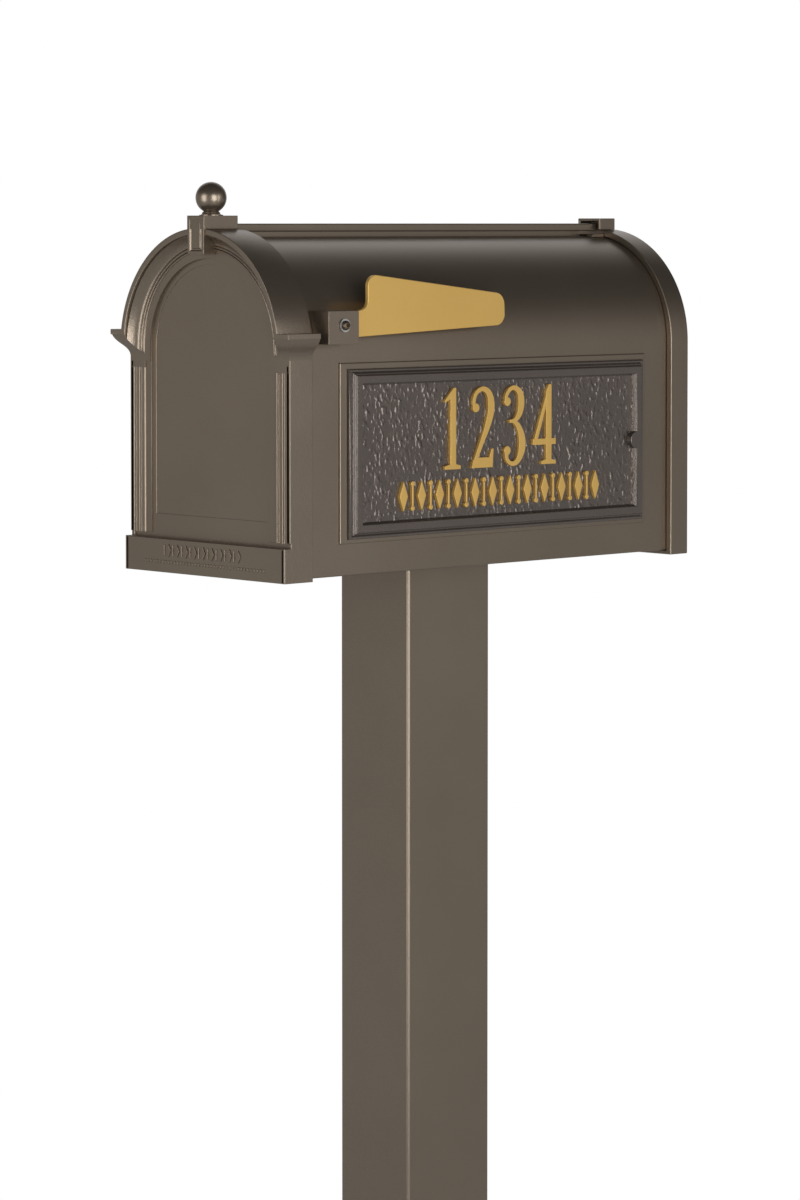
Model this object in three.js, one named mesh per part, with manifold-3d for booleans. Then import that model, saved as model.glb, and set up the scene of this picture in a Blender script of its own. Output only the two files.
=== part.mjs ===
// A curbside mailbox on a square post: an arched box with a drop-down cast door, a signal flag,
// a number plaque on each side, a ridge rail and a bolted foot.
// Millimetres, +Z up. The origin is the middle of the foot plate's underside, on the ground.
// The door faces -Y, the flag is on the +X side.

import * as THREE from 'three';
import { mergeVertices } from 'three/addons/utils/BufferGeometryUtils.js';
import Module from 'manifold-3d';

const wasm = await Module();
wasm.setup();

// ---------------------------------------------------------------- driving dimensions

const FRONT_WIDTH = 241.3;          // across the door's pilasters
const GROUND_TO_BOX = 1067;         // ground to the box's base line
const POST_SETBACK = 278;           // door face to the middle of the post
const POST_X = 101.6;               // post size across the box
const POST_Y = 114.3;               // post size along the box
const POST_WALL = 3;
const POST_CORNER = 3.5;            // corner radius of the post
const ARCH_Z = 218;                 // height of the arch's centre over the box's underside
const BODY_R = 111;                 // half width of the body, and the radius of its arch
const BODY_WALL = 3;
const BODY_BOTTOM = -1.6;            // the underside of the body, just under the box's base line
const BODY_FRONT = 13;              // the body's front edge, under the door's collar
const BODY_REAR = 556.6;            // the body's rear edge, inside the rear cap
const REAR_CAP_R = 118;
const REAR_CAP_FRONT = 536.4;
const REAR_CAP_BACK = 562.5;
const REAR_CAP_DROP = 6.2;          // how far the rear cap hangs below the base line
const GAP = 0.35;                   // clearance between pieces that touch

const HALF = FRONT_WIDTH / 2;
const RING_R = 119.5;               // outer radius of the door's arch
const RING_WALL = 4.7;
const RING_FRONT = -14.3;           // front of the arch moulding's outer fillet
const COLLAR_BACK = 29.5;           // rear edge of the door's collar
const FLANGE_WALL = 5;              // side flanges of the door
const FIELD_R = 90;                 // half width of the door's plain field
const PANEL_Y = 3;                  // the field's face
const PANEL_BACK = 7;
const PILASTER_W = 23;
const FLUTE = { r: 2.4, length: 163, places: [6.5, 14.5] };
const BASE_H = 30;                  // top of the door's base block,
const DOOR_BOTTOM = -3.8;           // and its underside, the lowest edge of the door
const BASE_REACH = 7;               // how far the base block stands forward
const BASE_GROOVE = 4.5;            // groove between base block and pilasters
const CAP_BOTTOM = 210.6;           // capitals: bottom of the curved part,
const CAP_FILLET = 231.2;           // bottom of the top fillet,
const CAP_TOP = 236.5;              // and top
const CAP_REACH = 13.8;             // how far the capitals stand out sideways
const CAP_REACH_Y = 14.4;           // and forwards
const CAP_BACK = 27.7;

const PIVOT_Y = 22;                 // the door's hinge line
const PIVOT_Z = 9.6;
const PIN_R = 3;

const PAD = { y0: 71.5, y1: 501.5, z0: 29.6, z1: 206.5, height: 2 };     // raised side pads
const PLAQUE = { y0: 81, y1: 496, z0: 33.8, z1: 200.4, thick: 7.5 };
const PLAQUE_STEPS = [[0, 3], [4, 5.5], [8, 7.5]];   // outer edge: [inset, height] of each step
const PLAQUE_BORDER = 14;           // outer edge to the sunk field
const PLAQUE_SINK = 6;              // depth of its field
const PLAQUE_LOBE_R = 9;            // half-round bosses at the ends of the field

const FLAG_PIVOT = { y: 59.3, z: 243.7 };
const BRACKET = { y0: 39, y1: 78.5, z0: 225.5, z1: 257.7, face: 133 };
const BLADE_FACE = 128;
const BLADE_THICK = 4.5;

const RAIL_TOP = 342;
const RAIL_HALF = 8;
const RAIL_BAR = 8;                 // height of the rail's bar over its web
const RAIL_WEB_HALF = 4.5;
const RAIL_START = 31.5;
const RAIL_END = 550;

const FOOT = { size: 254, thick: 9.5, socketHeight: 140, socketWall: 4, hole: 101.5, corner: 12 };
const THROUGH = 24;                 // length of a drill that goes right through a wall
const ARC_STEPS = 14;               // a half circle has twice as many facets

// ---------------------------------------------------------------- materials

const finish = (name, color, roughness, metalness) => {
  const material = new THREE.MeshStandardMaterial({ color, roughness, metalness });
  material.name = name;
  return () => material.clone();
};
const bronze = finish('bronze_paint', 0x62594e, 0.42, 0.35);
const plaqueBronze = finish('plaque_bronze', 0x504946, 0.35, 0.4);
const gold = finish('gold_paint', 0xaf8d50, 0.4, 0.4);
const steel = finish('zinc_steel', 0x9b9a96, 0.35, 0.9);
const darkSteel = finish('bronze_screw', 0x55493c, 0.35, 0.7);
const nylon = finish('black_nylon', 0x26241f, 0.6, 0.0);

// ---------------------------------------------------------------- shaping helpers

// A closed geometry as a solid that can be joined and cut.
function solid(geometry) {
  let bare = geometry.index ? geometry.toNonIndexed() : geometry.clone();
  bare.deleteAttribute('normal');
  bare.deleteAttribute('uv');
  bare = mergeVertices(bare, 1e-4);
  return new wasm.Manifold(new wasm.Mesh({
    numProp: 3,
    vertProperties: new Float32Array(bare.attributes.position.array),
    triVerts: new Uint32Array(bare.index.array),
  }));
}

function geometryOf(body) {
  const { vertProperties, triVerts } = body.getMesh();
  const geometry = new THREE.BufferGeometry();
  geometry.setAttribute('position', new THREE.BufferAttribute(new Float32Array(vertProperties), 3));
  geometry.setIndex(new THREE.BufferAttribute(new Uint32Array(triVerts), 1));
  geometry.computeVertexNormals();
  return geometry;
}

const joined = (...bodies) => bodies.reduce((all, body) => all.add(body));
const cut = (body, ...tools) => tools.reduce((left, tool) => left.subtract(tool), body);
const mirrored = (body, side) => (side > 0 ? body : body.mirror([1, 0, 0]));

// The one real body left after cuts whose faces almost coincide, without their empty slivers.
function trimmed(body) {
  const bodies = solid(geometryOf(body)).decompose();
  return bodies.sort((a, b) => b.volume() - a.volume())[0];
}

function extruded(shape, depth, basis, steps = ARC_STEPS) {
  const geometry = new THREE.ExtrudeGeometry(shape, { depth, bevelEnabled: false, curveSegments: steps });
  return geometry.applyMatrix4(basis);
}

// Outlines in X and Z, carried along Y.
function alongY(shape, y0, y1, steps) {
  const turn = new THREE.Matrix4().makeRotationX(Math.PI / 2).setPosition(0, y1, 0);
  return solid(extruded(shape, y1 - y0, turn, steps));
}

// Outlines in Y and Z, carried along X.
function alongX(shape, x0, x1, steps) {
  const turn = new THREE.Matrix4().makeBasis(
    new THREE.Vector3(0, 1, 0), new THREE.Vector3(0, 0, 1), new THREE.Vector3(1, 0, 0));
  return solid(extruded(shape, x1 - x0, turn.setPosition(x0, 0, 0), steps));
}

// Outlines in X and Y, carried along Z.
function alongZ(shape, z0, z1, steps) {
  return solid(extruded(shape, z1 - z0, new THREE.Matrix4().makeTranslation(0, 0, z0), steps));
}

function block(x0, x1, y0, y1, z0, z1) {
  const geometry = new THREE.BoxGeometry(x1 - x0, y1 - y0, z1 - z0);
  return solid(geometry.translate((x0 + x1) / 2, (y0 + y1) / 2, (z0 + z1) / 2));
}

const AXES = {
  '+x': new THREE.Vector3(1, 0, 0), '-x': new THREE.Vector3(-1, 0, 0),
  '+y': new THREE.Vector3(0, 1, 0), '-y': new THREE.Vector3(0, -1, 0),
  '+z': new THREE.Vector3(0, 0, 1), '-z': new THREE.Vector3(0, 0, -1),
};

// A turned piece: [radius, height] points, from axis to axis, its height along the given axis.
function turned(points, axis, x, y, z, steps = 12) {
  const profile = points.map(([radius, height]) => new THREE.Vector2(radius, height));
  const geometry = new THREE.LatheGeometry(profile, steps);
  const spin = new THREE.Quaternion().setFromUnitVectors(AXES['+y'], AXES[axis]);
  return solid(geometry.applyQuaternion(spin).translate(x, y, z));
}

const rod = (radius, length, axis, x, y, z, steps) =>
  turned([[0, 0], [radius, 0], [radius, length], [0, length]], axis, x, y, z, steps);

// A clearance hole for a shank, running both ways from the point.
const drilled = (shankR, axis, x, y, z, length = THROUGH, steps = 12) =>
  rod(shankR + GAP, length, axis, ...along(axis, x, y, z, -length / 2), steps);

// A half circle on two straight legs.
function archShape(radius, bottom) {
  const shape = new THREE.Shape();
  shape.moveTo(-radius, bottom);
  shape.lineTo(radius, bottom);
  shape.lineTo(radius, ARCH_Z);
  shape.absarc(0, ARCH_Z, radius, 0, Math.PI, false);
  shape.closePath();
  return shape;
}

function roundedRectangle(halfX, halfY, radius) {
  const shape = new THREE.Shape();
  shape.moveTo(halfX, -halfY + radius);
  shape.absarc(halfX - radius, halfY - radius, radius, 0, Math.PI / 2, false);
  shape.absarc(-halfX + radius, halfY - radius, radius, Math.PI / 2, Math.PI, false);
  shape.absarc(-halfX + radius, -halfY + radius, radius, Math.PI, 1.5 * Math.PI, false);
  shape.absarc(halfX - radius, -halfY + radius, radius, 1.5 * Math.PI, 2 * Math.PI, false);
  return shape;
}

const model = new THREE.Group();
const post = new THREE.Group();
const box = new THREE.Group();
box.position.set(0, -POST_SETBACK, GROUND_TO_BOX);
model.add(post, box);

function piece(group, name, material, body) {
  const mesh = new THREE.Mesh(geometryOf(body), material());
  mesh.name = name;
  group.add(mesh);
}

// ---------------------------------------------------------------- fasteners

// A pan-head screw whose head's underside is at the point, the shank running the other way.
function panScrew(shankR, length, axis, x, y, z) {
  const headR = 1.9 * shankR;
  const headH = 1.2 * shankR;
  return turned([
    [0, -length], [shankR, -length], [shankR, 0], [headR, 0],
    [0.93 * headR, 0.6 * headH], [0.6 * headR, headH], [0, headH],
  ], axis, x, y, z);
}

// A bolt with a hexagon head, a shank and a hexagon nut some way down it.
function boltWithNut(shankR, grip, tail, axis, x, y, z) {
  const headH = 1.3 * shankR;
  const hexR = 2 * shankR;
  const shank = rod(shankR, grip + tail + headH / 2, axis, ...along(axis, x, y, z, -(grip + tail)));
  const head = rod(hexR, headH, axis, ...along(axis, x, y, z, 0), 6);
  const nut = rod(hexR, headH, axis, ...along(axis, x, y, z, -(grip + headH)), 6);
  return joined(shank, head, nut);
}

function along(axis, x, y, z, distance) {
  const step = AXES[axis];
  return [x + step.x * distance, y + step.y * distance, z + step.z * distance];
}

// ---------------------------------------------------------------- post and foot

function postTube() {
  const outer = roundedRectangle(POST_X / 2, POST_Y / 2, POST_CORNER);
  const inner = roundedRectangle(POST_X / 2 - POST_WALL, POST_Y / 2 - POST_WALL, 1);
  const bottom = FOOT.thick + GAP;
  const tube = cut(
    alongZ(outer, bottom, POST_TOP, 4),
    alongZ(inner, bottom - 1, POST_TOP + 1, 1));
  return cut(tube, ...FOOT_SCREWS.map(([axis, x, y]) => drilled(FOOT_SCREW.r, axis, x, y, FOOT_SCREW.z)));
}

const POST_TOP = GROUND_TO_BOX + BODY_BOTTOM - GAP;
const FOOT_SCREW = { r: 3, z: 75, length: 11 };
const ANCHOR = { studR: 7.5, tall: 34, washerR: 15, washer: 3, nutR: 13.5, nut: 10 };
const FOOT_SCREWS = [
  ['+x', POST_X / 2, 0], ['-x', -POST_X / 2, 0], ['+y', 0, POST_Y / 2], ['-y', 0, -POST_Y / 2],
];

function footFlange() {
  const plate = alongZ(roundedRectangle(FOOT.size / 2, FOOT.size / 2, FOOT.corner), 0, FOOT.thick, 3);
  const outX = POST_X / 2 - POST_WALL - GAP;
  const outY = POST_Y / 2 - POST_WALL - GAP;
  const wall = FOOT.socketWall;
  const socket = cut(
    block(-outX, outX, -outY, outY, FOOT.thick / 2, FOOT.socketHeight),
    block(-outX + wall, outX - wall, -outY + wall, outY - wall, FOOT.thick, FOOT.socketHeight + 1));
  const anchorHoles = anchorPlaces().map(([x, y]) => drilled(ANCHOR.studR, '+z', x, y, 0, THROUGH, 16));
  const screwHoles = FOOT_SCREWS.map(([axis, x, y]) => drilled(FOOT_SCREW.r, axis, x, y, FOOT_SCREW.z));
  return cut(joined(plate, socket), ...anchorHoles, ...screwHoles);
}

function anchorPlaces() {
  const reach = FOOT.hole;
  return [[reach, reach], [-reach, reach], [-reach, -reach], [reach, -reach]];
}

// A stud with its washer and nut, seen above the foot plate.
function anchorBolt(x, y) {
  const top = FOOT.thick + GAP;
  return joined(
    rod(ANCHOR.studR, ANCHOR.tall, '+z', x, y, 1, 16),
    rod(ANCHOR.washerR, ANCHOR.washer, '+z', x, y, top, 20),
    rod(ANCHOR.nutR, ANCHOR.nut, '+z', x, y, top + ANCHOR.washer, 6));
}

const MOUNT_BOLT = { r: 4, tail: 9 };
const MOUNT_BOLTS = [[28, 32], [-28, 32], [-28, -32], [28, -32]];
const TOP_PLATE_THICK = 6;
const MOUNT_PLATE = { halfX: 60, halfY: 78, thick: 4 };

const boltHoles = (centreY, z) => MOUNT_BOLTS.map(([x, y]) =>
  drilled(MOUNT_BOLT.r, '+z', x, centreY + y, z));

// The plate welded in the post's mouth, which the box is bolted down to.
function postTopPlate() {
  const halfX = POST_X / 2 - POST_WALL - GAP;
  const halfY = POST_Y / 2 - POST_WALL - GAP;
  const plate = block(-halfX, halfX, -halfY, halfY, POST_TOP - TOP_PLATE_THICK, POST_TOP);
  return cut(plate, ...boltHoles(0, POST_TOP));
}

function buildPost() {
  piece(post, 'post_tube', bronze, postTube());
  piece(post, 'foot_flange', bronze, footFlange());
  piece(post, 'post_top_plate', steel, postTopPlate());
  anchorPlaces().forEach(([x, y], i) => piece(post, `anchor_bolt_${i + 1}`, steel, anchorBolt(x, y)));
  FOOT_SCREWS.forEach(([axis, x, y], i) => piece(post, `foot_screw_${i + 1}`, darkSteel,
    panScrew(FOOT_SCREW.r, FOOT_SCREW.length, axis, ...along(axis, x, y, FOOT_SCREW.z, GAP))));
}

// ---------------------------------------------------------------- box body

const REAR_BOSSES = [[102.5, 9], [-102.5, 9], [72, 290], [-72, 290]];
const REAR_BOSS = { r: 7, length: 22, inset: 1.5 };
const REAR_SCREW = { r: 2.5, length: 16, bore: 18 };
const BUSH_R = 6;
const CATCH_SCREW = { r: 2, y: 42, length: 26 };
const BRACKET_SCREWS = [231.5, 251.5];
const BRACKET_SCREW_Y = 48;
const PLAQUE_SCREW = { r: 2.2, length: 9.5, bore: 5 };
const plaqueScrewPlaces = () => {
  const z = (PLAQUE.z0 + PLAQUE.z1) / 2;
  return [PLAQUE.y0 + PLAQUE_BORDER, PLAQUE.y1 - PLAQUE_BORDER].map((y) => [y, z]);
};

function sidePad(side) {
  const shape = new THREE.Shape();
  shape.moveTo(PAD.y0, PAD.z0);
  shape.lineTo(PAD.y1, PAD.z0);
  shape.lineTo(PAD.y1, PAD.z1);
  shape.lineTo(PAD.y0, PAD.z1);
  shape.closePath();
  const inner = BODY_R - BODY_WALL / 2;
  const outer = BODY_R + PAD.height;
  return side > 0 ? alongX(shape, inner, outer) : alongX(shape, -outer, -inner);
}

function bodyShell() {
  const shape = archShape(BODY_R, BODY_BOTTOM);
  const hollow = archShape(BODY_R - BODY_WALL, BODY_BOTTOM + BODY_WALL);
  const tube = cut(
    alongY(shape, BODY_FRONT, BODY_REAR),
    alongY(hollow, BODY_FRONT - 1, BODY_REAR + 1));
  const bosses = REAR_BOSSES.map(([x, z]) => cut(
    rod(REAR_BOSS.r, REAR_BOSS.length, '-y', x, BODY_REAR - REAR_BOSS.inset, z),
    rod(REAR_SCREW.r + GAP, REAR_SCREW.bore, '-y', x, BODY_REAR, z)));
  const midWall = BODY_WALL / 2;
  const trim = alongY(archShape(BODY_R - midWall, BODY_BOTTOM + midWall), BODY_FRONT, BODY_REAR);
  const withBosses = joined(tube, sidePad(1), sidePad(-1), ...bosses.map((boss) => boss.intersect(trim)));
  const across = 4 * BODY_R;
  const plaqueHoles = plaqueScrewPlaces().map(([y, z]) => drilled(PLAQUE_SCREW.r, '+x', 0, y, z, across));
  const bracketHoles = BRACKET_SCREWS.map((z) =>
    drilled(BRACKET_SCREW.r, '+x', BODY_R, BRACKET_SCREW_Y, z, BODY_R));
  const crownHoles = [CATCH_SCREW.y, ...RAIL_SCREW.places].map((y) =>
    drilled(CATCH_SCREW.r, '+z', 0, y, ARCH_Z + BODY_R));
  return cut(withBosses, ...crownHoles,
    drilled(BUSH_R, '+x', 0, PIVOT_Y, PIVOT_Z, across, 16),
    ...boltHoles(POST_SETBACK, BODY_BOTTOM), ...plaqueHoles, ...bracketHoles);
}

function rearCap() {
  const shell = cut(
    alongY(archShape(REAR_CAP_R, -REAR_CAP_DROP), REAR_CAP_FRONT, REAR_CAP_BACK),
    alongY(archShape(BODY_R + GAP, BODY_BOTTOM - GAP), REAR_CAP_FRONT - 1, BODY_REAR + GAP));
  return cut(shell, ...REAR_BOSSES.map(([x, z]) => drilled(REAR_SCREW.r, '+y', x, REAR_CAP_BACK, z)));
}

function mountPlate() {
  const { halfX, halfY, thick } = MOUNT_PLATE;
  const z0 = BODY_BOTTOM + BODY_WALL + GAP;
  const plate = block(-halfX, halfX, POST_SETBACK - halfY, POST_SETBACK + halfY, z0, z0 + thick);
  return cut(plate, ...boltHoles(POST_SETBACK, z0));
}

function mountBolt(x, y) {
  const stack = BODY_WALL + GAP + MOUNT_PLATE.thick + GAP;
  const grip = stack + GAP + TOP_PLATE_THICK + GAP;
  return boltWithNut(MOUNT_BOLT.r, grip, MOUNT_BOLT.tail, '+z', x, POST_SETBACK + y, BODY_BOTTOM + stack);
}

function buildBody() {
  piece(box, 'body_shell', bronze, bodyShell());
  piece(box, 'rear_cap', bronze, rearCap());
  piece(box, 'mount_plate', steel, mountPlate());
  MOUNT_BOLTS.forEach(([x, y], i) => piece(box, `mount_bolt_${i + 1}`, steel, mountBolt(x, y)));
  REAR_BOSSES.forEach(([x, z], i) => piece(box, `rear_screw_${i + 1}`, darkSteel,
    panScrew(REAR_SCREW.r, REAR_SCREW.length, '+y', x, REAR_CAP_BACK + GAP, z)));
}

// ---------------------------------------------------------------- ridge rail

const RAIL_SCREW = { r: 2, length: 9, bore: 7, places: [170, 400] };
const SADDLE = { half: 20, y0: 514, y1: REAR_CAP_FRONT - 2 * GAP, top: 330.6, deep: 5 };
const CLAMP = { half: 16.2, front: 533.3, back: REAR_CAP_BACK - 6, top: 347.4, wall: 3, rearWall: 5 };

function topRail() {
  const webTop = RAIL_TOP - RAIL_BAR;
  const seat = ARCH_Z + BODY_R + GAP;
  const capRoof = ARCH_Z + REAR_CAP_R + GAP;
  const rail = joined(
    block(-RAIL_HALF, RAIL_HALF, RAIL_START, RAIL_END, webTop, RAIL_TOP),
    block(-RAIL_WEB_HALF, RAIL_WEB_HALF, RAIL_START, SADDLE.y0 - GAP, seat, webTop + 1));
  const holes = [CATCH_SCREW.y, ...RAIL_SCREW.places].map((y) =>
    rod(RAIL_SCREW.r + GAP, RAIL_SCREW.bore + 1, '+z', 0, y, seat - 1));
  const wide = RAIL_HALF + 1;
  const capRoom = block(-wide, wide, REAR_CAP_FRONT - GAP, RAIL_END + 1, webTop - 1, capRoof);
  return cut(rail, capRoom, ...holes);
}

// A thin saddle under the rail's rear end, against the rear cap.
function railSaddle() {
  const { half, y0, y1, top, deep } = SADDLE;
  const seat = alongY(archShape(BODY_R + GAP, 0), y0 - 1, y1 + 1);
  return cut(block(-half, half, y0, y1, top - deep, top), seat);
}

// The clamp over the rail's rear end: a channel open to the front, seated on the rear cap.
function railClamp() {
  const { half, front, back, top, wall, rearWall } = CLAMP;
  const capLevel = ARCH_Z + REAR_CAP_R - 2;
  const channel = cut(
    block(-half, half, front, back, capLevel, top),
    block(-half + wall, half - wall, front - 1, back - rearWall, capLevel - 1, top - wall));
  const seat = joined(
    alongY(archShape(REAR_CAP_R + GAP, 0), REAR_CAP_FRONT - GAP, back + 1),
    block(-half - 1, half + 1, front - 1, REAR_CAP_FRONT, capLevel - 1, capLevel + 1));
  return cut(channel, seat);
}

function buildRail() {
  piece(box, 'ridge_rail', bronze, topRail());
  piece(box, 'rail_saddle', bronze, railSaddle());
  piece(box, 'rail_clamp', bronze, railClamp());
  RAIL_SCREW.places.forEach((y, i) => piece(box, `rail_screw_${i + 1}`, darkSteel,
    panScrew(RAIL_SCREW.r, RAIL_SCREW.length, '-z', 0, y, ARCH_Z + BODY_R - BODY_WALL - GAP)));
}

// ---------------------------------------------------------------- plaques

function plaque(side) {
  const face = BODY_R + PAD.height + GAP;
  const out = face + PLAQUE.thick;
  const { y0, y1, z0, z1 } = PLAQUE;
  const border = PLAQUE_BORDER;
  const plate = joined(...PLAQUE_STEPS.map(([inset, height]) =>
    block(face, face + height, y0 + inset, y1 - inset, z0 + inset, z1 - inset)));
  const field = block(out - PLAQUE_SINK, out + 1, y0 + border, y1 - border, z0 + border, z1 - border);
  const lobes = plaqueScrewPlaces().map(([y, z]) =>
    rod(PLAQUE_LOBE_R, PLAQUE.thick, '+x', face, y, z, 20));
  const threads = plaqueScrewPlaces().map(([y, z]) =>
    rod(PLAQUE_SCREW.r + GAP, PLAQUE_SCREW.bore + 1, '+x', face - 1, y, z));
  return mirrored(cut(joined(cut(plate, field), ...lobes), ...threads), side);
}

// Driven from inside the box into the back of the plaque.
function plaqueScrew(side, y, z) {
  const inner = BODY_R - BODY_WALL - GAP;
  return panScrew(PLAQUE_SCREW.r, PLAQUE_SCREW.length, side > 0 ? '-x' : '+x', side * inner, y, z);
}

function buildPlaques() {
  [['right', 1], ['left', -1]].forEach(([name, side]) => {
    piece(box, `plaque_${name}`, plaqueBronze, plaque(side));
    plaqueScrewPlaces().forEach(([y, z], i) =>
      piece(box, `plaque_screw_${name}_${i + 1}`, darkSteel, plaqueScrew(side, y, z)));
  });
}

// ---------------------------------------------------------------- signal flag

const BRACKET_SCREW = { r: 1.8, length: 10 };
const FLAG_SCREW = { r: 2.5, length: 15 };
const WASHER = { r: 6.6, thick: 1.2 };
const SLOT = { back: BLADE_FACE - BLADE_THICK - 0.4, front: BLADE_FACE + 0.4, wall: 5 };

// A cast block seated on the body's side, slotted for the blade; the slot is open above and behind.
function flagBracket() {
  const { y0, y1, z0, z1, face } = BRACKET;
  const seat = alongY(archShape(BODY_R + GAP, 0), y0 - 1, y1 + 1);
  const slot = block(SLOT.back, SLOT.front, y0 + SLOT.wall, y1 + 1, z0 + SLOT.wall, z1 + 1);
  const holes = BRACKET_SCREWS.map((z) =>
    drilled(BRACKET_SCREW.r, '+x', BODY_R - BODY_WALL, BRACKET_SCREW_Y, z));
  const flagBore = drilled(FLAG_SCREW.r, '+x', face, FLAG_PIVOT.y, FLAG_PIVOT.z, 2 * (face - SLOT.back + 8));
  return cut(block(BODY_R - 12, face, y0, y1, z0, z1), seat, slot, flagBore, ...holes);
}

// The blade: a round root on the pivot and a long tapered flag with a square shoulder.
function flagBlade() {
  const { y, z } = FLAG_PIVOT;
  const root = 12.7;
  const shoulder = { y: y + 36, top: z + 48 };
  const tip = { y: y + 222.5, top: z + 28.9, bottom: z - 3.8, r: 12 };
  const fillet = 9;
  const corner = 9;
  const shape = new THREE.Shape();
  shape.absarc(y, z, root, 0.5 * Math.PI, 1.5 * Math.PI, false);
  shape.lineTo(tip.y - tip.r, tip.bottom);
  shape.quadraticCurveTo(tip.y - 0.5, tip.bottom + 0.5, tip.y, tip.bottom + tip.r);
  shape.lineTo(tip.y - 1, tip.top - tip.r);
  shape.quadraticCurveTo(tip.y - 2, tip.top - 2, tip.y - tip.r, tip.top);
  shape.lineTo(shoulder.y + corner, shoulder.top - 1);
  shape.quadraticCurveTo(shoulder.y, shoulder.top, shoulder.y, shoulder.top - corner);
  shape.lineTo(shoulder.y, z + 14.7 + fillet);
  shape.quadraticCurveTo(shoulder.y, z + 14.7, shoulder.y - fillet - 2, z + 14.2);
  shape.lineTo(y + 22, z + root);
  shape.closePath();
  const blade = alongX(shape, BLADE_FACE - BLADE_THICK, BLADE_FACE, 6);
  return cut(blade, drilled(FLAG_SCREW.r, '+x', BLADE_FACE, y, z));
}

function buildFlag() {
  const { y, z } = FLAG_PIVOT;
  piece(box, 'flag_bracket', bronze, flagBracket());
  piece(box, 'flag_blade', gold, flagBlade());
  piece(box, 'flag_washer', steel, cut(
    rod(WASHER.r, WASHER.thick, '+x', BRACKET.face + GAP, y, z, 20),
    drilled(FLAG_SCREW.r, '+x', BRACKET.face, y, z)));
  piece(box, 'flag_screw', darkSteel,
    panScrew(FLAG_SCREW.r, FLAG_SCREW.length, '+x', BRACKET.face + WASHER.thick + 2 * GAP, y, z));
  BRACKET_SCREWS.forEach((place, i) => piece(box, `bracket_screw_${i + 1}`, darkSteel,
    bracketScrew(place)));
}

// Driven from inside the box, its head against the body's inner face.
function bracketScrew(z) {
  const headTop = z + 2 * BRACKET_SCREW.r;
  const inner = Math.sqrt((BODY_R - BODY_WALL) ** 2 - Math.max(0, headTop - ARCH_Z) ** 2);
  return panScrew(BRACKET_SCREW.r, BRACKET_SCREW.length, '-x', inner - 2 * GAP, BRACKET_SCREW_Y, z);
}

// ---------------------------------------------------------------- door

const KEYSTONE = { half: 13.3, front: -16, bottom: 312, slabBottom: 336.4, top: 349.8, back: 27 };
const FINIAL = { r: 15.3, y: 4, z: 367.4, neckR: 8.8 };
const STRIKE = { half: 14.5, z0: 306, z1: 322, thick: 1.5 };
const STRIKE_SCREW = { r: 1.5, x: 10.5, length: 3.8 };
const STRIKE_Z = (STRIKE.z0 + STRIKE.z1) / 2;
const CAPITAL_INNER = HALF - 7.9;    // where the capital dies into the arch
const CLIP = { x: 98, r: 5.5, thick: 0.7, groove: 1, grooveR: 2.2, pinStart: 96 };

// The capital's side outline: an ogee under a square fillet.
function capitalShape(inner, face, reach) {
  const rise = CAP_FILLET - CAP_BOTTOM;
  const shape = new THREE.Shape();
  shape.moveTo(inner, CAP_BOTTOM);
  shape.lineTo(face, CAP_BOTTOM);
  shape.bezierCurveTo(
    face + 0.05 * reach, CAP_BOTTOM + 0.45 * rise,
    face + 0.72 * reach, CAP_BOTTOM + 0.55 * rise,
    face + 0.93 * reach, CAP_FILLET);
  shape.lineTo(face + reach, CAP_FILLET);
  shape.lineTo(face + reach, CAP_TOP);
  shape.lineTo(inner, CAP_TOP);
  shape.closePath();
  return shape;
}

function capital(side) {
  const outline = alongY(capitalShape(CAPITAL_INNER, HALF, CAP_REACH), -30, CAP_BACK, 4);
  const front = alongX(capitalShape(CAP_BACK, 0, -CAP_REACH_Y), 0, HALF + 30, 4);
  const body = outline.intersect(front);
  return mirrored(body, side);
}

// The arch moulding's section, as [radius, y]: a fillet outside, a cove, and a flat band inside.
function archivoltSection() {
  const fillet = RING_R - 6;
  const coveFoot = 101;
  const coveFront = RING_FRONT + 3;
  const footFront = -2.8;
  const coveDepth = (t) => footFront + (coveFront - footFront) * (1 - Math.cos(t * Math.PI / 2));
  const cove = [0.25, 0.5, 0.75].map((t) => [coveFoot + (fillet - coveFoot) * t, coveDepth(t)]);
  return [
    [FIELD_R, PANEL_BACK], [FIELD_R, 0], [coveFoot - 2, 0], [coveFoot - 2, -2.2], [coveFoot, footFront],
    ...cove, [fillet, coveFront], [fillet, RING_FRONT], [RING_R, RING_FRONT],
    [RING_R, COLLAR_BACK], [RING_R - RING_WALL, COLLAR_BACK], [RING_R - RING_WALL, PANEL_BACK],
  ];
}

// A section carried up one leg, round the half circle and down the other leg, as one closed body.
function archSweep(section, bottom) {
  const halfTurn = Array.from({ length: 2 * ARC_STEPS + 1 }, (_, i) => Math.PI * i / (2 * ARC_STEPS));
  const stations = [
    (r) => [r, bottom], ...halfTurn.map((a) => (r) => [r * Math.cos(a), ARCH_Z + r * Math.sin(a)]),
    (r) => [-r, bottom]];
  const corners = stations.flatMap((place) => section.map(([r, y]) => {
    const [x, z] = place(r);
    return [x, y, z];
  }));
  const count = section.length;
  const sides = stations.slice(1).flatMap((_, i) => section.flatMap((__, j) => {
    const [a, b] = [i * count + j, i * count + (j + 1) % count];
    return [a, b, a + count, b, b + count, a + count];
  }));
  const outline = section.map(([r, y]) => new THREE.Vector2(r, y));
  const endFaces = THREE.ShapeUtils.triangulateShape(outline, []);
  const last = (stations.length - 1) * count;
  const lids = endFaces.flatMap(([a, b, c]) => [a, c, b, last + a, last + b, last + c]);
  const geometry = new THREE.BufferGeometry();
  geometry.setAttribute('position', new THREE.Float32BufferAttribute(corners.flat(), 3));
  geometry.setIndex([...sides, ...lids]);
  return solid(geometry);
}

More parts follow.
